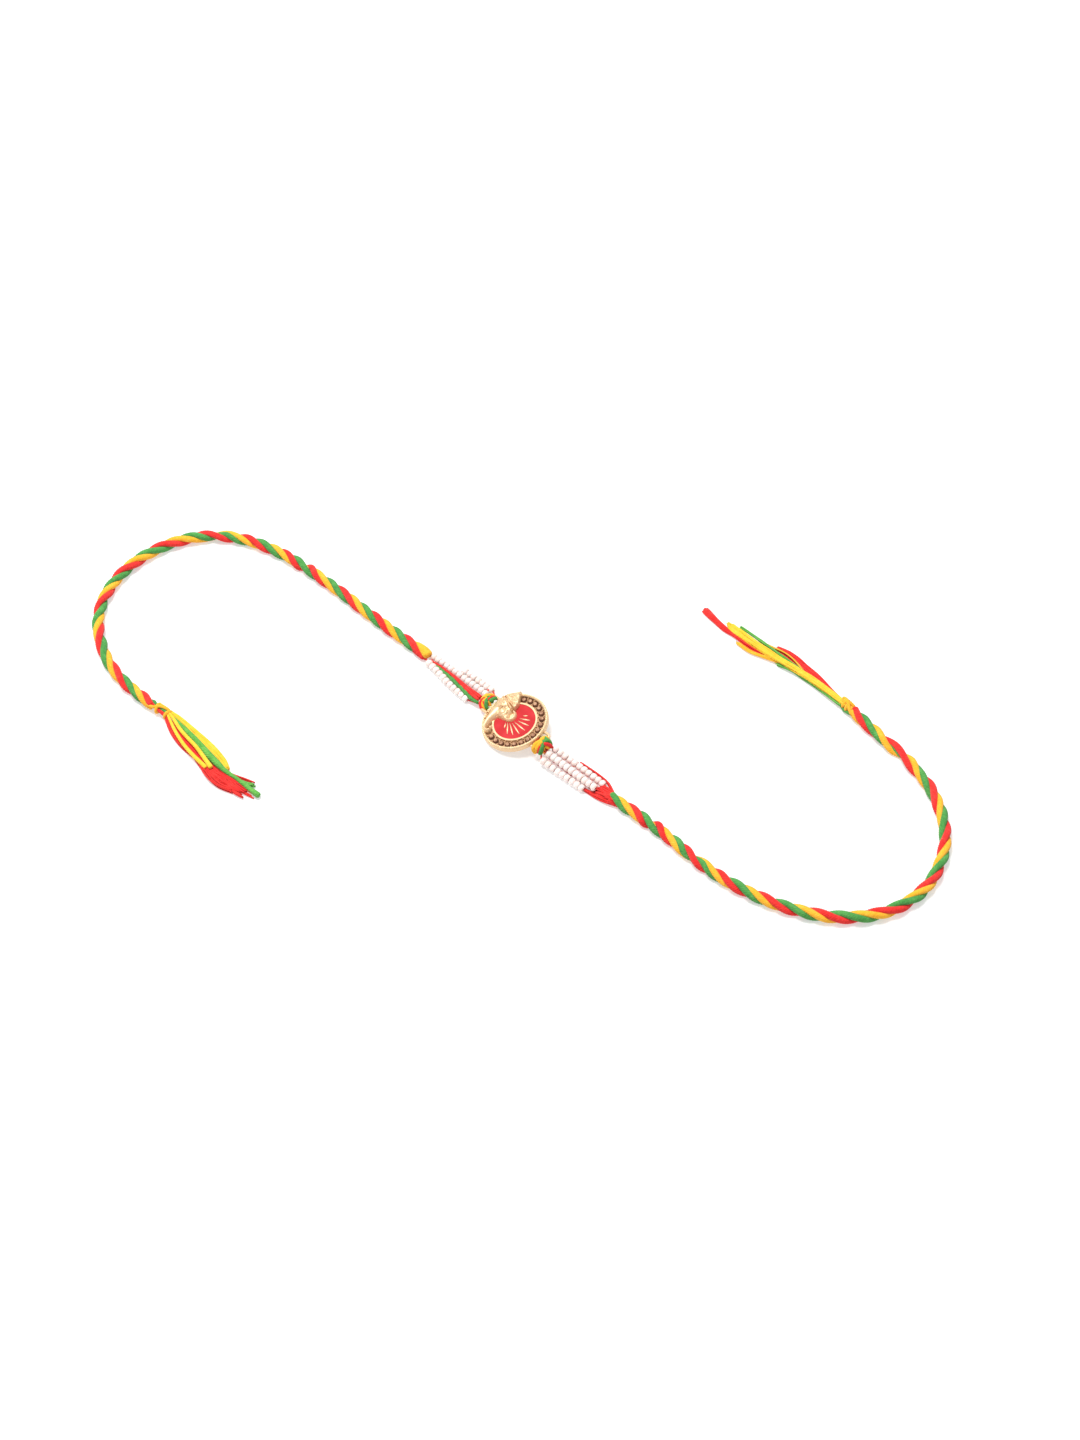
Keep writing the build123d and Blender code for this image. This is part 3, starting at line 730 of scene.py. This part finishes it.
tie_hitch(-1, 1.61, 0.0, [("red", 0.50), ("yellow", 0.50), ("green", 0.50)], hitch_left, "left")
tie_hitch(1, 0.40, 2.0, [("yellow", 0.50), ("red", 0.50), ("green", 0.50)], hitch_right, "right")


# Ends: a yellow strand tied round each cord, and the loose yarns past it

def tie_end(name, route, wraps, neck, node):
    """Turns of yellow strand round the cord's end, over the red and green strands inside them.

    A wrap has its place along the cord, lean, reach and radius. The neck's points run along, aside and up.
    """
    end = Vector((*route[-1], cord_z))
    way = (end - Vector((*route[-2], cord_z))).normalized()
    side = Vector((0, 0, 1)).cross(way)
    bm = bmesh.new()
    for along, lean_deg, reach, thick in wraps:
        centre = end + way * along
        turn = Matrix.Rotation(math.radians(lean_deg), 3, "Z")
        line = []
        for angle in np.linspace(0, whole_turn, 28, endpoint=False):
            spot = turn @ (side * (reach * math.cos(angle))) + Vector((0, 0, reach * math.sin(angle)))
            line.append([*(centre + spot)])
        lay_yarn(bm, np.array(line), thick, "yellow", depth=0.12, closed=True)
    for shade, thick, points in neck:
        places = [end + way * a + side * b + Vector((0, 0, c)) for a, b, c in points]
        lay_yarn(bm, smooth_line([tuple(p) for p in places], 0.3), thick, shade, depth=0.12)
    return finish_piece(name, bm, cottons, nodes=[node])


end_tie_left = tie_end(
    "end_tie_left", route_left, [(1.9, 12.0, 1.20, 0.46), (5.6, -14.0, 1.16, 0.46)],
    [
        ("yellow", 0.44, [
            (-1.5, -1.0, 0.3), (1.0, -1.2, 0.7), (2.0, -0.2, 1.35), (3.6, 0.7, 1.15), (5.4, 1.0, 0.6),
        ]),
        ("yellow", 0.40, [(1.6, 0.6, 1.2), (3.4, 1.1, 0.8), (5.2, 1.1, 0.5)]),
        ("red", 0.55, [(-1.0, -0.1, 0.6), (1.5, -0.5, 0.35), (4.0, -0.6, 0.2), (7.0, -0.8, -0.2)]),
        ("green", 0.50, [(-1.0, 0.7, 0.4), (1.5, 0.3, 0.55), (4.0, 0.1, 0.45), (7.0, 0.3, 0.1)]),
    ],
    "end_knot_left",
)
end_tie_right = tie_end(
    "end_tie_right", route_right, [(1.9, 14.0, 1.06, 0.56), (2.9, -4.0, 1.02, 0.54)],
    [
        ("yellow", 0.55, [
            (-1.2, 1.2, 0.2), (0.4, 1.1, 0.9), (1.8, 0.2, 1.55), (3.2, -0.4, 1.3), (4.6, -0.5, 0.6),
        ]),
        ("yellow", 0.55, [(0.4, -0.8, 0.6), (1.6, -0.6, 1.2), (2.8, 0.3, 1.3), (4.0, 0.5, 0.7)]),
        ("yellow", 0.85, [(0.0, 0.2, 0.3), (2.0, 0.1, 0.4), (4.6, 0.0, 0.2)]),
        ("green", 0.52, [(-0.6, 0.8, -0.3), (1.4, 1.3, -0.8), (2.6, 1.2, -0.8), (4.2, 0.7, -0.6)]),
        ("red", 0.55, [(-1.0, -0.2, 0.3), (1.5, -0.5, 0.3), (4.0, -0.7, -0.2)]),
    ],
    "end_knot_right",
)

bm = bmesh.new()
lay_lock(bm, "red", [
    (-68.6, -63.5, 1.5), (-66.2, -64.2, 1.3), (-62.8, -64.9, 1.2), (-59.1, -65.3, 1.1), (-55.7, -65.6, 1.0),
    (-52.7, -65.9, 0.9), (-49.0, -66.3, 0.85), (-45.3, -66.6, 0.85), (-42.4, -66.6, 0.8),
    (-40.2, -66.2, 0.8), (-37.8, -65.3, 0.7), (-35.2, -64.9, 0.6),
], widths=[0.3, 0.5, 0.65, 0.75, 0.85, 1.0, 1.4, 1.9, 2.3, 2.3, 2.0, 1.6], count=40, yarn_r=0.28, seed=61,
         ragged=0.16, layers=3)
lay_lock(bm, "red", [
    (-52.0, -65.4, 1.0), (-48.0, -65.2, 1.0), (-43.5, -65.4, 1.0), (-39.0, -65.8, 0.9),
    (-35.4, -65.5, 0.75), (-31.8, -64.5, 0.6),
], widths=[0.5, 0.9, 1.2, 1.35, 1.35, 1.3], count=17, yarn_r=0.27, seed=68, ragged=0.2)
lay_lock(bm, "red", [
    (-68.6, -63.8, 1.4), (-66.6, -64.7, 1.2), (-64.0, -65.7, 0.95), (-60.6, -66.6, 0.75),
    (-57.0, -66.9, 0.6), (-52.0, -66.8, 0.6),
], widths=[0.25, 0.35, 0.3, 0.2], count=6, yarn_r=0.28, seed=66)
lay_lock(bm, "red", [
    (-44.0, -64.2, 0.6), (-41.3, -63.2, 0.55), (-38.6, -62.2, 0.5), (-35.4, -60.9, 0.45),
], widths=[0.3, 0.28, 0.25, 0.2], count=3, yarn_r=0.26, seed=62, ragged=0.1)
lay_lock(bm, "leaf", [
    (-41.0, -63.9, 0.8), (-37.8, -63.4, 0.75), (-35.9, -62.6, 0.7), (-34.4, -61.6, 0.6),
], widths=[0.3, 0.4, 0.5, 0.55], count=7, yarn_r=0.28, seed=63, ragged=0.1)
lay_lock(bm, "lemon", [
    (-68.6, -62.3, 2.0), (-66.9, -62.0, 2.05), (-62.3, -61.9, 1.8), (-57.1, -62.0, 1.55),
    (-53.7, -62.1, 1.4), (-51.0, -62.1, 1.3), (-48.0, -62.3, 1.2), (-45.3, -62.8, 1.1), (-43.4, -63.4, 0.9),
], widths=[0.3, 0.5, 0.65, 0.75, 0.85, 0.95, 1.0, 0.85, 0.4], count=16, yarn_r=0.29, seed=64, ragged=0.02)
lay_rope(bm, "leaf", [
    (-68.2, -62.9, 2.1), (-65.0, -63.0, 2.25), (-61.5, -63.3, 2.2), (-58.1, -63.4, 2.1),
    (-54.9, -63.7, 2.1), (-50.8, -64.2, 2.0), (-47.2, -64.4, 1.9), (-43.6, -64.5, 1.8),
    (-41.4, -64.2, 1.65), (-39.2, -63.8, 1.5), (-36.1, -63.6, 1.3), (-33.1, -63.4, 1.15),
    (-31.0, -63.1, 1.05),
], radii=[0.35, 0.45, 0.65, 0.8, 0.9, 0.98, 1.02, 0.95, 0.66, 0.55, 0.6, 0.75, 0.85], threads=9, turn=8.0,
         depth=0.2)
lay_rope(bm, "lemon", [
    (-68.6, -63.2, 2.3), (-66.9, -63.8, 2.4), (-62.8, -65.4, 2.2), (-58.0, -66.6, 1.95),
    (-53.6, -67.1, 1.8), (-50.1, -67.2, 1.7), (-47.6, -67.2, 1.5),
], radii=[0.32, 0.45, 0.50, 0.52, 0.56, 0.62])
lay_rope(bm, "lemon", [
    (-68.6, -62.8, 2.5), (-66.3, -63.1, 2.7), (-62.2, -64.3, 2.6), (-58.2, -64.7, 2.4), (-54.2, -64.9, 2.3),
    (-50.7, -65.6, 2.2), (-46.4, -66.4, 1.9),
], radii=[0.35, 0.50, 0.54, 0.56, 0.60, 0.68])
tassel_left = finish_piece("tassel_left_yarns", bm, cottons, nodes=["tassel_left"])

bm = bmesh.new()
lay_lock(bm, "red", [
    (57.0, 67.8, 1.6), (55.0, 68.3, 1.4), (51.8, 68.9, 1.1), (46.2, 69.6, 1.0), (41.2, 70.1, 0.95),
    (36.8, 70.4, 0.9), (33.4, 70.3, 0.85), (31.0, 69.9, 0.8),
], widths=[0.25, 0.35, 0.55, 0.85, 1.1, 1.25, 1.2, 0.7], count=22, yarn_r=0.28, seed=71, ragged=0.03)
lay_lock(bm, "leaf", [
    (57.2, 66.8, 1.5), (56.0, 66.8, 1.3), (52.1, 67.0, 1.1), (47.9, 67.3, 1.0), (44.0, 67.35, 0.9),
    (40.2, 67.2, 0.85), (37.5, 66.7, 0.8), (35.5, 66.1, 0.8), (34.0, 65.9, 0.75),
], widths=[0.25, 0.25, 0.3, 0.35, 0.4, 0.5, 0.4], count=6, yarn_r=0.28, seed=72, ragged=0.06)
lay_lock(bm, "yellow", [
    (38.6, 67.4, 1.0), (36.2, 67.0, 0.95), (33.8, 66.4, 0.85), (31.3, 65.5, 0.75), (28.8, 64.7, 0.7),
    (26.7, 64.1, 0.65), (24.0, 64.0, 0.6), (21.4, 64.1, 0.5),
], widths=[0.3, 0.35, 0.4, 0.45, 0.4, 0.3], count=6, yarn_r=0.27, seed=73, ragged=0.05)
lay_lock(bm, "red", [
    (38.0, 67.4, 0.9), (34.0, 67.0, 0.9), (29.4, 66.3, 0.85), (26.5, 65.8, 0.8), (23.3, 65.5, 0.75),
    (19.9, 65.5, 0.7), (16.8, 65.3, 0.7), (13.8, 65.6, 0.7), (10.7, 66.05, 0.7), (7.6, 66.65, 0.6),
], widths=[0.3, 0.6, 0.8, 0.75, 0.55, 0.5, 0.75, 0.95, 0.8], count=15, yarn_r=0.27, seed=74)
lay_rope(bm, "red", [
    (24.0, 65.7, 0.75), (19.9, 65.6, 0.75), (16.8, 65.35, 0.75), (13.8, 65.6, 0.75), (10.7, 66.0, 0.75),
    (7.4, 66.6, 0.7),
], radii=[0.4, 0.45, 0.55, 0.7, 0.8, 0.65])
lay_lock(bm, "leaf", [
    (44.0, 68.3, 1.8), (41.0, 68.2, 1.85), (38.1, 68.15, 1.85), (35.3, 68.3, 1.8), (32.0, 68.4, 1.7),
    (28.7, 68.35, 1.6), (25.3, 68.4, 1.5), (21.8, 68.5, 1.4), (19.2, 68.4, 1.3),
], widths=[0.2, 0.3, 0.35, 0.35, 0.35, 0.3], count=4, yarn_r=0.28, seed=75, ragged=0.03)
lay_lock(bm, "leaf", [
    (21.0, 67.7, 1.1), (18.4, 67.4, 1.1), (16.4, 67.5, 1.0),
], widths=[0.2, 0.2, 0.15], count=2, yarn_r=0.24, seed=78)
lay_lock(bm, "yellow", [
    (43.5, 68.3, 1.2), (41.0, 69.0, 1.5), (38.5, 69.6, 1.7), (35.3, 69.9, 1.75), (33.0, 69.7, 1.7),
    (30.8, 69.2, 1.6), (28.5, 68.8, 1.5), (26.3, 68.5, 1.3),
], widths=[0.1, 0.15, 0.2, 0.2, 0.15], count=2, yarn_r=0.25, seed=77)
lay_lock(bm, "lemon", [
    (58.2, 67.4, 2.2), (56.3, 67.6, 2.2), (54.0, 67.75, 2.0), (51.3, 67.9, 1.95), (45.5, 67.9, 1.8),
    (40.0, 67.45, 1.75), (36.5, 67.2, 1.7), (33.4, 66.8, 1.65), (30.0, 66.6, 1.6), (25.7, 66.6, 1.5),
    (21.4, 66.6, 1.35), (18.5, 66.5, 1.2), (15.6, 66.85, 1.1),
], widths=[0.5, 0.65, 0.7, 0.7, 0.7, 0.7, 0.75, 0.85, 1.05, 1.15, 0.85], count=18, yarn_r=0.29, seed=76,
         ragged=0.06)
tassel_right = finish_piece("tassel_right_yarns", bm, cottons, nodes=["tassel_right"])


# Medallion

for name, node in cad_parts.items():
    if name.startswith("stone"):
        node.data.materials.clear()
        node.data.materials.append(gem.material)
for name, material in (("medallion", gilt), ("enamel_field", enamel.material)):
    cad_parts[name].data.materials.clear()
    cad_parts[name].data.materials.append(material)

# The elephant head in relief, in the medallion's own frame
relief_foot = 0.42
relief_step = 0.065
relief_low = np.array([-9.5, -8.1])
relief_high = np.array([-0.2, 8.4])
form_blend = 0.18  # how softly one form runs into the next
crown_blend = 0.10
crown_top = 2.66
crown_shoulder = 0.36
crown_slope = 0.12
crown_slope_run = 1.6
line_foot = 1.3  # the lines fade out from this height down
line_fade = 0.7
# The hollow mask, for painted shade, is full at this depth below the evened-out height
hollow_full = 0.12
hollow_reach = 6  # grid steps over which the height round a place is evened out
curl_points = 14


def away(x, y, points):
    """How far each place is from a line of points, and where the nearest place is, counted in points."""
    nearest, at = np.full(x.shape, 1000.0), np.zeros(x.shape)
    for index, ((x1, y1), (x2, y2)) in enumerate(zip(points, points[1:])):
        dx, dy = x2 - x1, y2 - y1
        share = (((x - x1) * dx + (y - y1) * dy) / (dx * dx + dy * dy)).clip(0, 1)
        far = np.hypot(x - x1 - share * dx, y - y1 - share * dy)
        at = np.where(far < nearest, index + share, at)
        nearest = np.minimum(far, nearest)
    return nearest, at


def rounded(share, top):
    """A height that is full at a share of 0, falls in a round to the foot at 1, and goes on down."""
    dome = (top - relief_foot) * np.sqrt((1 - share ** 2).clip(0, 1))
    return relief_foot + dome - 3 * (share - 1).clip(0, None)


def cut_corners(rows, times=3):
    """The rows of a bent form with their corners cut again and again, so that it has no crease."""
    rows = np.array(rows)
    for _ in range(times):
        before, after = rows[:-1], rows[1:]
        cut = np.empty((2 * len(before), rows.shape[1]))
        cut[0::2] = before * 0.75 + after * 0.25
        cut[1::2] = before * 0.25 + after * 0.75
        rows = np.vstack([rows[:1], cut, rows[-1:]])
    return rows


def swell(x, y, rows):
    """A rounded form along a line. Each row has a place, a half width and a top."""
    if len(rows) == 1:
        (px, py, radius, top), = rows
        return rounded(np.hypot(x - px, y - py) / radius, top)
    if len(rows) > 2:
        rows = cut_corners(rows)
    far, at = away(x, y, [row[:2] for row in rows])
    order = range(len(rows))
    half_width = np.interp(at, order, [row[2] for row in rows])
    return rounded(far / half_width, np.interp(at, order, [row[3] for row in rows]))


def plateau(x, y, outline, top, shoulder):
    """A form inside an outline with rounded shoulders, that climbs a little to its middle."""
    closed = outline + outline[:1]
    far, _ = away(x, y, closed)
    inside = np.zeros(x.shape, bool)
    for (x1, y1), (x2, y2) in zip(closed, closed[1:]):
        inside ^= ((y1 > y) != (y2 > y)) & (x < (x2 - x1) * (y - y1) / (y2 - y1) + x1)
    depth = np.where(inside, far, -far)
    climb = crown_slope * (depth - shoulder).clip(0, crown_slope_run)
    return rounded((1 - depth / shoulder).clip(0, None), top + climb)


def curl(px, py, radius, start_deg, sweep_deg, tighten=0.35):
    """Points of a small scroll that winds in."""
    angles = np.radians(np.linspace(start_deg, start_deg + sweep_deg, curl_points))
    reach = radius * np.linspace(1, tighten, curl_points)
    return [(px + r * math.cos(a), py + r * math.sin(a)) for r, a in zip(reach, angles)]


crown_outline = [
    (-8.05, 3.85), (-7.4, 5.1), (-6.62, 6.2), (-5.75, 6.9), (-5.05, 7.95), (-4.3, 6.75), (-3.5, 5.8),
    (-2.5, 4.3), (-2.28, 2.4),
]

# Rounded forms of the head, ear, jaw, trunk and headband. Each row is a place, a half width and a top.
relief_forms = [
    [(-6.1, 2.0, 3.0, 3.35)], [(-4.45, -0.05, 1.8, 2.95)],
    [(*place, 0.52, 2.16) for place in curl(-2.29, 0.46, 1.48, -150, 290, 1.0)],
    [(-4.9, -0.7, 1.3, 2.45), (-3.0, -0.35, 1.3, 2.35)], [(-3.9, -0.2, 1.45, 2.6), (-3.6, 1.6, 1.55, 2.75)],
    [(-5.27, 0.41, 0.62, 3.42)], [(-3.9, -5.36, 0.66, 2.12)],
    [
        (-6.5, 0.6, 2.2, 2.95), (-6.35, -1.5, 1.88, 2.85), (-6.2, -2.3, 1.55, 2.8),
        (-6.2, -3.3, 1.25, 2.75), (-5.95, -4.5, 1.05, 2.7), (-5.5, -5.8, 0.88, 2.65),
        (-5.1, -6.45, 0.72, 2.6), (-4.4, -6.9, 0.62, 2.55), (-3.7, -6.75, 0.56, 2.5),
        (-3.4, -6.25, 0.5, 2.45),
    ],
    [(-7.34, 3.39, 0.52, 3.45), (-2.75, 1.93, 0.52, 3.4)],
    [(-7.15, 4.1, 0.36, 3.0), (-4.9, 3.35, 0.36, 3.05), (-2.5, 2.65, 0.34, 2.9)],
]

# Fine lines: points, lift and width
relief_lines = [
    (crown_outline[3:], 0.20, 0.26),
    (curl(-5.2, 5.4, 0.62, 200, 460), 0.17, 0.13),
    (curl(-6.3, 5.0, 0.55, -30, 420), 0.16, 0.13),
    (curl(-4.0, 4.75, 0.60, 160, -430), 0.17, 0.13),
    (curl(-3.3, 3.6, 0.48, 20, 420), 0.16, 0.12),
    (curl(-4.9, 6.55, 0.42, 240, 380), 0.15, 0.12),
    (curl(-7.1, 4.75, 0.36, 20, 380), 0.15, 0.11),
    (curl(-4.6, 3.9, 0.34, -60, 380), 0.14, 0.11),
    ([(-6.0, 5.9), (-5.5, 5.2), (-4.7, 4.4), (-3.9, 3.7), (-3.0, 2.9)], 0.12, 0.12),
    (curl(-7.2, 2.75, 0.50, 60, 440), 0.17, 0.14),
    (curl(-6.2, 3.05, 0.42, 200, -420), 0.16, 0.13),
    ([(-7.0, 1.7), (-6.6, 2.12), (-6.0, 2.2), (-5.5, 1.85)], 0.20, 0.16),
    ([(-6.75, 1.35), (-6.3, 1.55), (-5.85, 1.45)], 0.15, 0.13),
    ([(-7.5, -1.3), (-6.9, -0.3), (-6.2, 0.45), (-5.4, 1.0), (-4.7, 1.5)], 0.22, 0.2),
    (curl(-4.5, 0.0, 1.0, 0, 340, 1.0), -0.10, 0.12),
    (curl(-5.27, 0.41, 0.62, 0, 350, 1.0), 0.10, 0.1),
    ([(-3.3, 0.9), (-2.9, 0.2), (-3.0, -0.6)], -0.22, 0.16),
]


def higher(first, second, blend):
    """The higher of two heights, with the line where they cross rounded over."""
    return (first + second + np.sqrt((first - second) ** 2 + blend ** 2)) / 2


def relief_height(x, y):
    height = swell(x, y, relief_forms[0])
    for rows in relief_forms[1:]:
        height = higher(height, swell(x, y, rows), form_blend)
    height = higher(height, plateau(x, y, crown_outline, crown_top, crown_shoulder), crown_blend)
    held = ((height - line_foot) / line_fade).clip(0, 1)
    for points, lift, width in relief_lines:
        far, _ = away(x, y, points)
        height = height + lift * held * np.exp(-(far / width) ** 2)
    return np.maximum(height, relief_foot)


def lay_relief():
    """Raises a fine grid to the head's height and marks its hollows, where painted shade goes."""
    bm = bmesh.new()
    columns, lines = (round(n) for n in (relief_high - relief_low) / relief_step)
    bmesh.ops.create_grid(bm, x_segments=columns, y_segments=lines, size=1.0)
    places = np.array([v.co.xy for v in bm.verts])
    places = relief_low + (places + 1) / 2 * (relief_high - relief_low)
    height = relief_height(places[:, 0], places[:, 1])
    order = np.lexsort((places[:, 0], places[:, 1]))
    rows = height[order].reshape(-1, columns + 1)
    # painted shade mask: how far each place lies below the evened-out height round it
    around = rows.copy()
    for _ in range(hollow_reach):
        for axis in (0, 1):
            around = (np.roll(around, 1, axis) + around + np.roll(around, -1, axis)) / 3
    hollow = np.empty(len(height))
    hollow[order] = ((around - rows) / hollow_full).clip(0, 1).ravel()
    layer = bm.verts.layers.float.new("hollow")
    for vert, place, z, depth in zip(bm.verts, places, height, hollow):
        vert.co = (*place, z)
        vert[layer] = depth
    bare = [f for f in bm.faces if all(v.co.z <= relief_foot + weld for v in f.verts)]
    bmesh.ops.delete(bm, geom=bare, context="FACES")
    bmesh.ops.edgeloop_fill(bm, edges=[e for e in bm.edges if e.is_boundary])
    finish_piece("head_relief", bm, [gilt_relief], place=seat)


lay_relief()

# Raised rays over the enamel, as in the part's source
ray_fan_r = 2.70
ray_first_deg = 39.0
ray_step_deg = -14.1
ray_reach = [
    (4.2, 5.5), (3.5, 6.5), (3.4, 7.0), (2.8, 7.1), (2.7, 7.1), (2.3, 6.5), (2.0, 5.7), (2.1, 3.7),
]
ray_half = 0.30
ray_start_half = 0.06
ray_stop_half = 0.10
ray_rise = 0.18
ray_sink = 0.10
ray_end_slope = 0.1
ray_crest_share = 0.48
bm = bmesh.new()
for index, (start, stop) in enumerate(ray_reach):
    widest = start * 0.45 + stop * 0.55
    way = Matrix.Rotation(math.radians(ray_first_deg + index * ray_step_deg), 4, "Z")
    side = [(start, ray_start_half), (widest, ray_half), (stop, ray_stop_half)]
    outline = [(x, -y) for x, y in side] + side[::-1]
    foot = bm.faces.new([bm.verts.new((x, y, -ray_sink)) for x, y in outline])
    raised = bmesh.ops.extrude_face_region(bm, geom=[foot])["geom"]
    crest = [v for v in raised if isinstance(v, bmesh.types.BMVert)]
    about_middle = Matrix.Translation((-(start + stop) / 2, 0, 0))
    shorter = 1 - 2 * ray_end_slope / (stop - start)
    bmesh.ops.scale(bm, vec=(shorter, ray_crest_share, 1), space=about_middle, verts=crest)
    bmesh.ops.translate(bm, vec=(0, 0, ray_rise + ray_sink), verts=crest)
    fan = Matrix.Translation((-ray_fan_r, 0, enamel_top)) @ way
    bmesh.ops.transform(bm, matrix=fan, verts=crest + list(foot.verts))
finish_piece("ray_crests", bm, [gilt_painted_highlight], place=seat)

# Grains round the rim, and a larger one beside the trunk's tip
grain_r = 0.29
grain_ring_r = 8.78
grain_sink = 0.10
grain_count = 92
ball_r = 0.36
ball_place = (-7.47, -4.02, 1.9)
bm = bmesh.new()
for index in range(grain_count):
    angle = whole_turn * index / grain_count
    place = (grain_ring_r * math.cos(angle), grain_ring_r * math.sin(angle), rim_top - grain_sink)
    bmesh.ops.create_icosphere(bm, subdivisions=2, radius=grain_r, matrix=Matrix.Translation(place))
bmesh.ops.create_icosphere(bm, subdivisions=2, radius=ball_r, matrix=Matrix.Translation(ball_place))
finish_piece("rim_grains", bm, [gilt_painted_highlight], place=seat)


# Stage

floor_mesh = bpy.data.meshes.new("surface")
bm = bmesh.new()
bmesh.ops.create_grid(bm, x_segments=1, y_segments=1, size=3.0)
bm.to_mesh(floor_mesh)
bm.free()
paper = Finish("white_surface", Roughness=1.0, Specular_IOR_Level=0.0, Base_Color=(0.58, 0.58, 0.58, 1.0),
               Emission_Color=(1.0, 1.0, 1.0, 1.0), Emission_Strength=0.46)
floor_mesh.materials.append(paper.material)
floor = add_object("surface", floor_mesh)

world = bpy.data.worlds.new("studio")
scene.world = world
world.use_nodes = True
world.node_tree.nodes["Background"].inputs["Color"].default_value = (1.0, 1.0, 1.0, 1.0)
world.node_tree.nodes["Background"].inputs["Strength"].default_value = 0.56

lamp_place = (-0.28, 0.0, 0.95)
lamp = bpy.data.lights.new("key", "AREA")
lamp.shape = "DISK"
lamp.size = 0.42
lamp.energy = 11.4
add_facing("key", lamp, lamp_place, lamp_place)

camera = bpy.data.cameras.new("camera")
camera.lens = camera_lens
camera.sensor_width = 36.0
camera.clip_start = 0.01
scene.camera = add_facing("camera", camera, camera_place * metre, camera_back)
scene.view_settings.view_transform = "Standard"
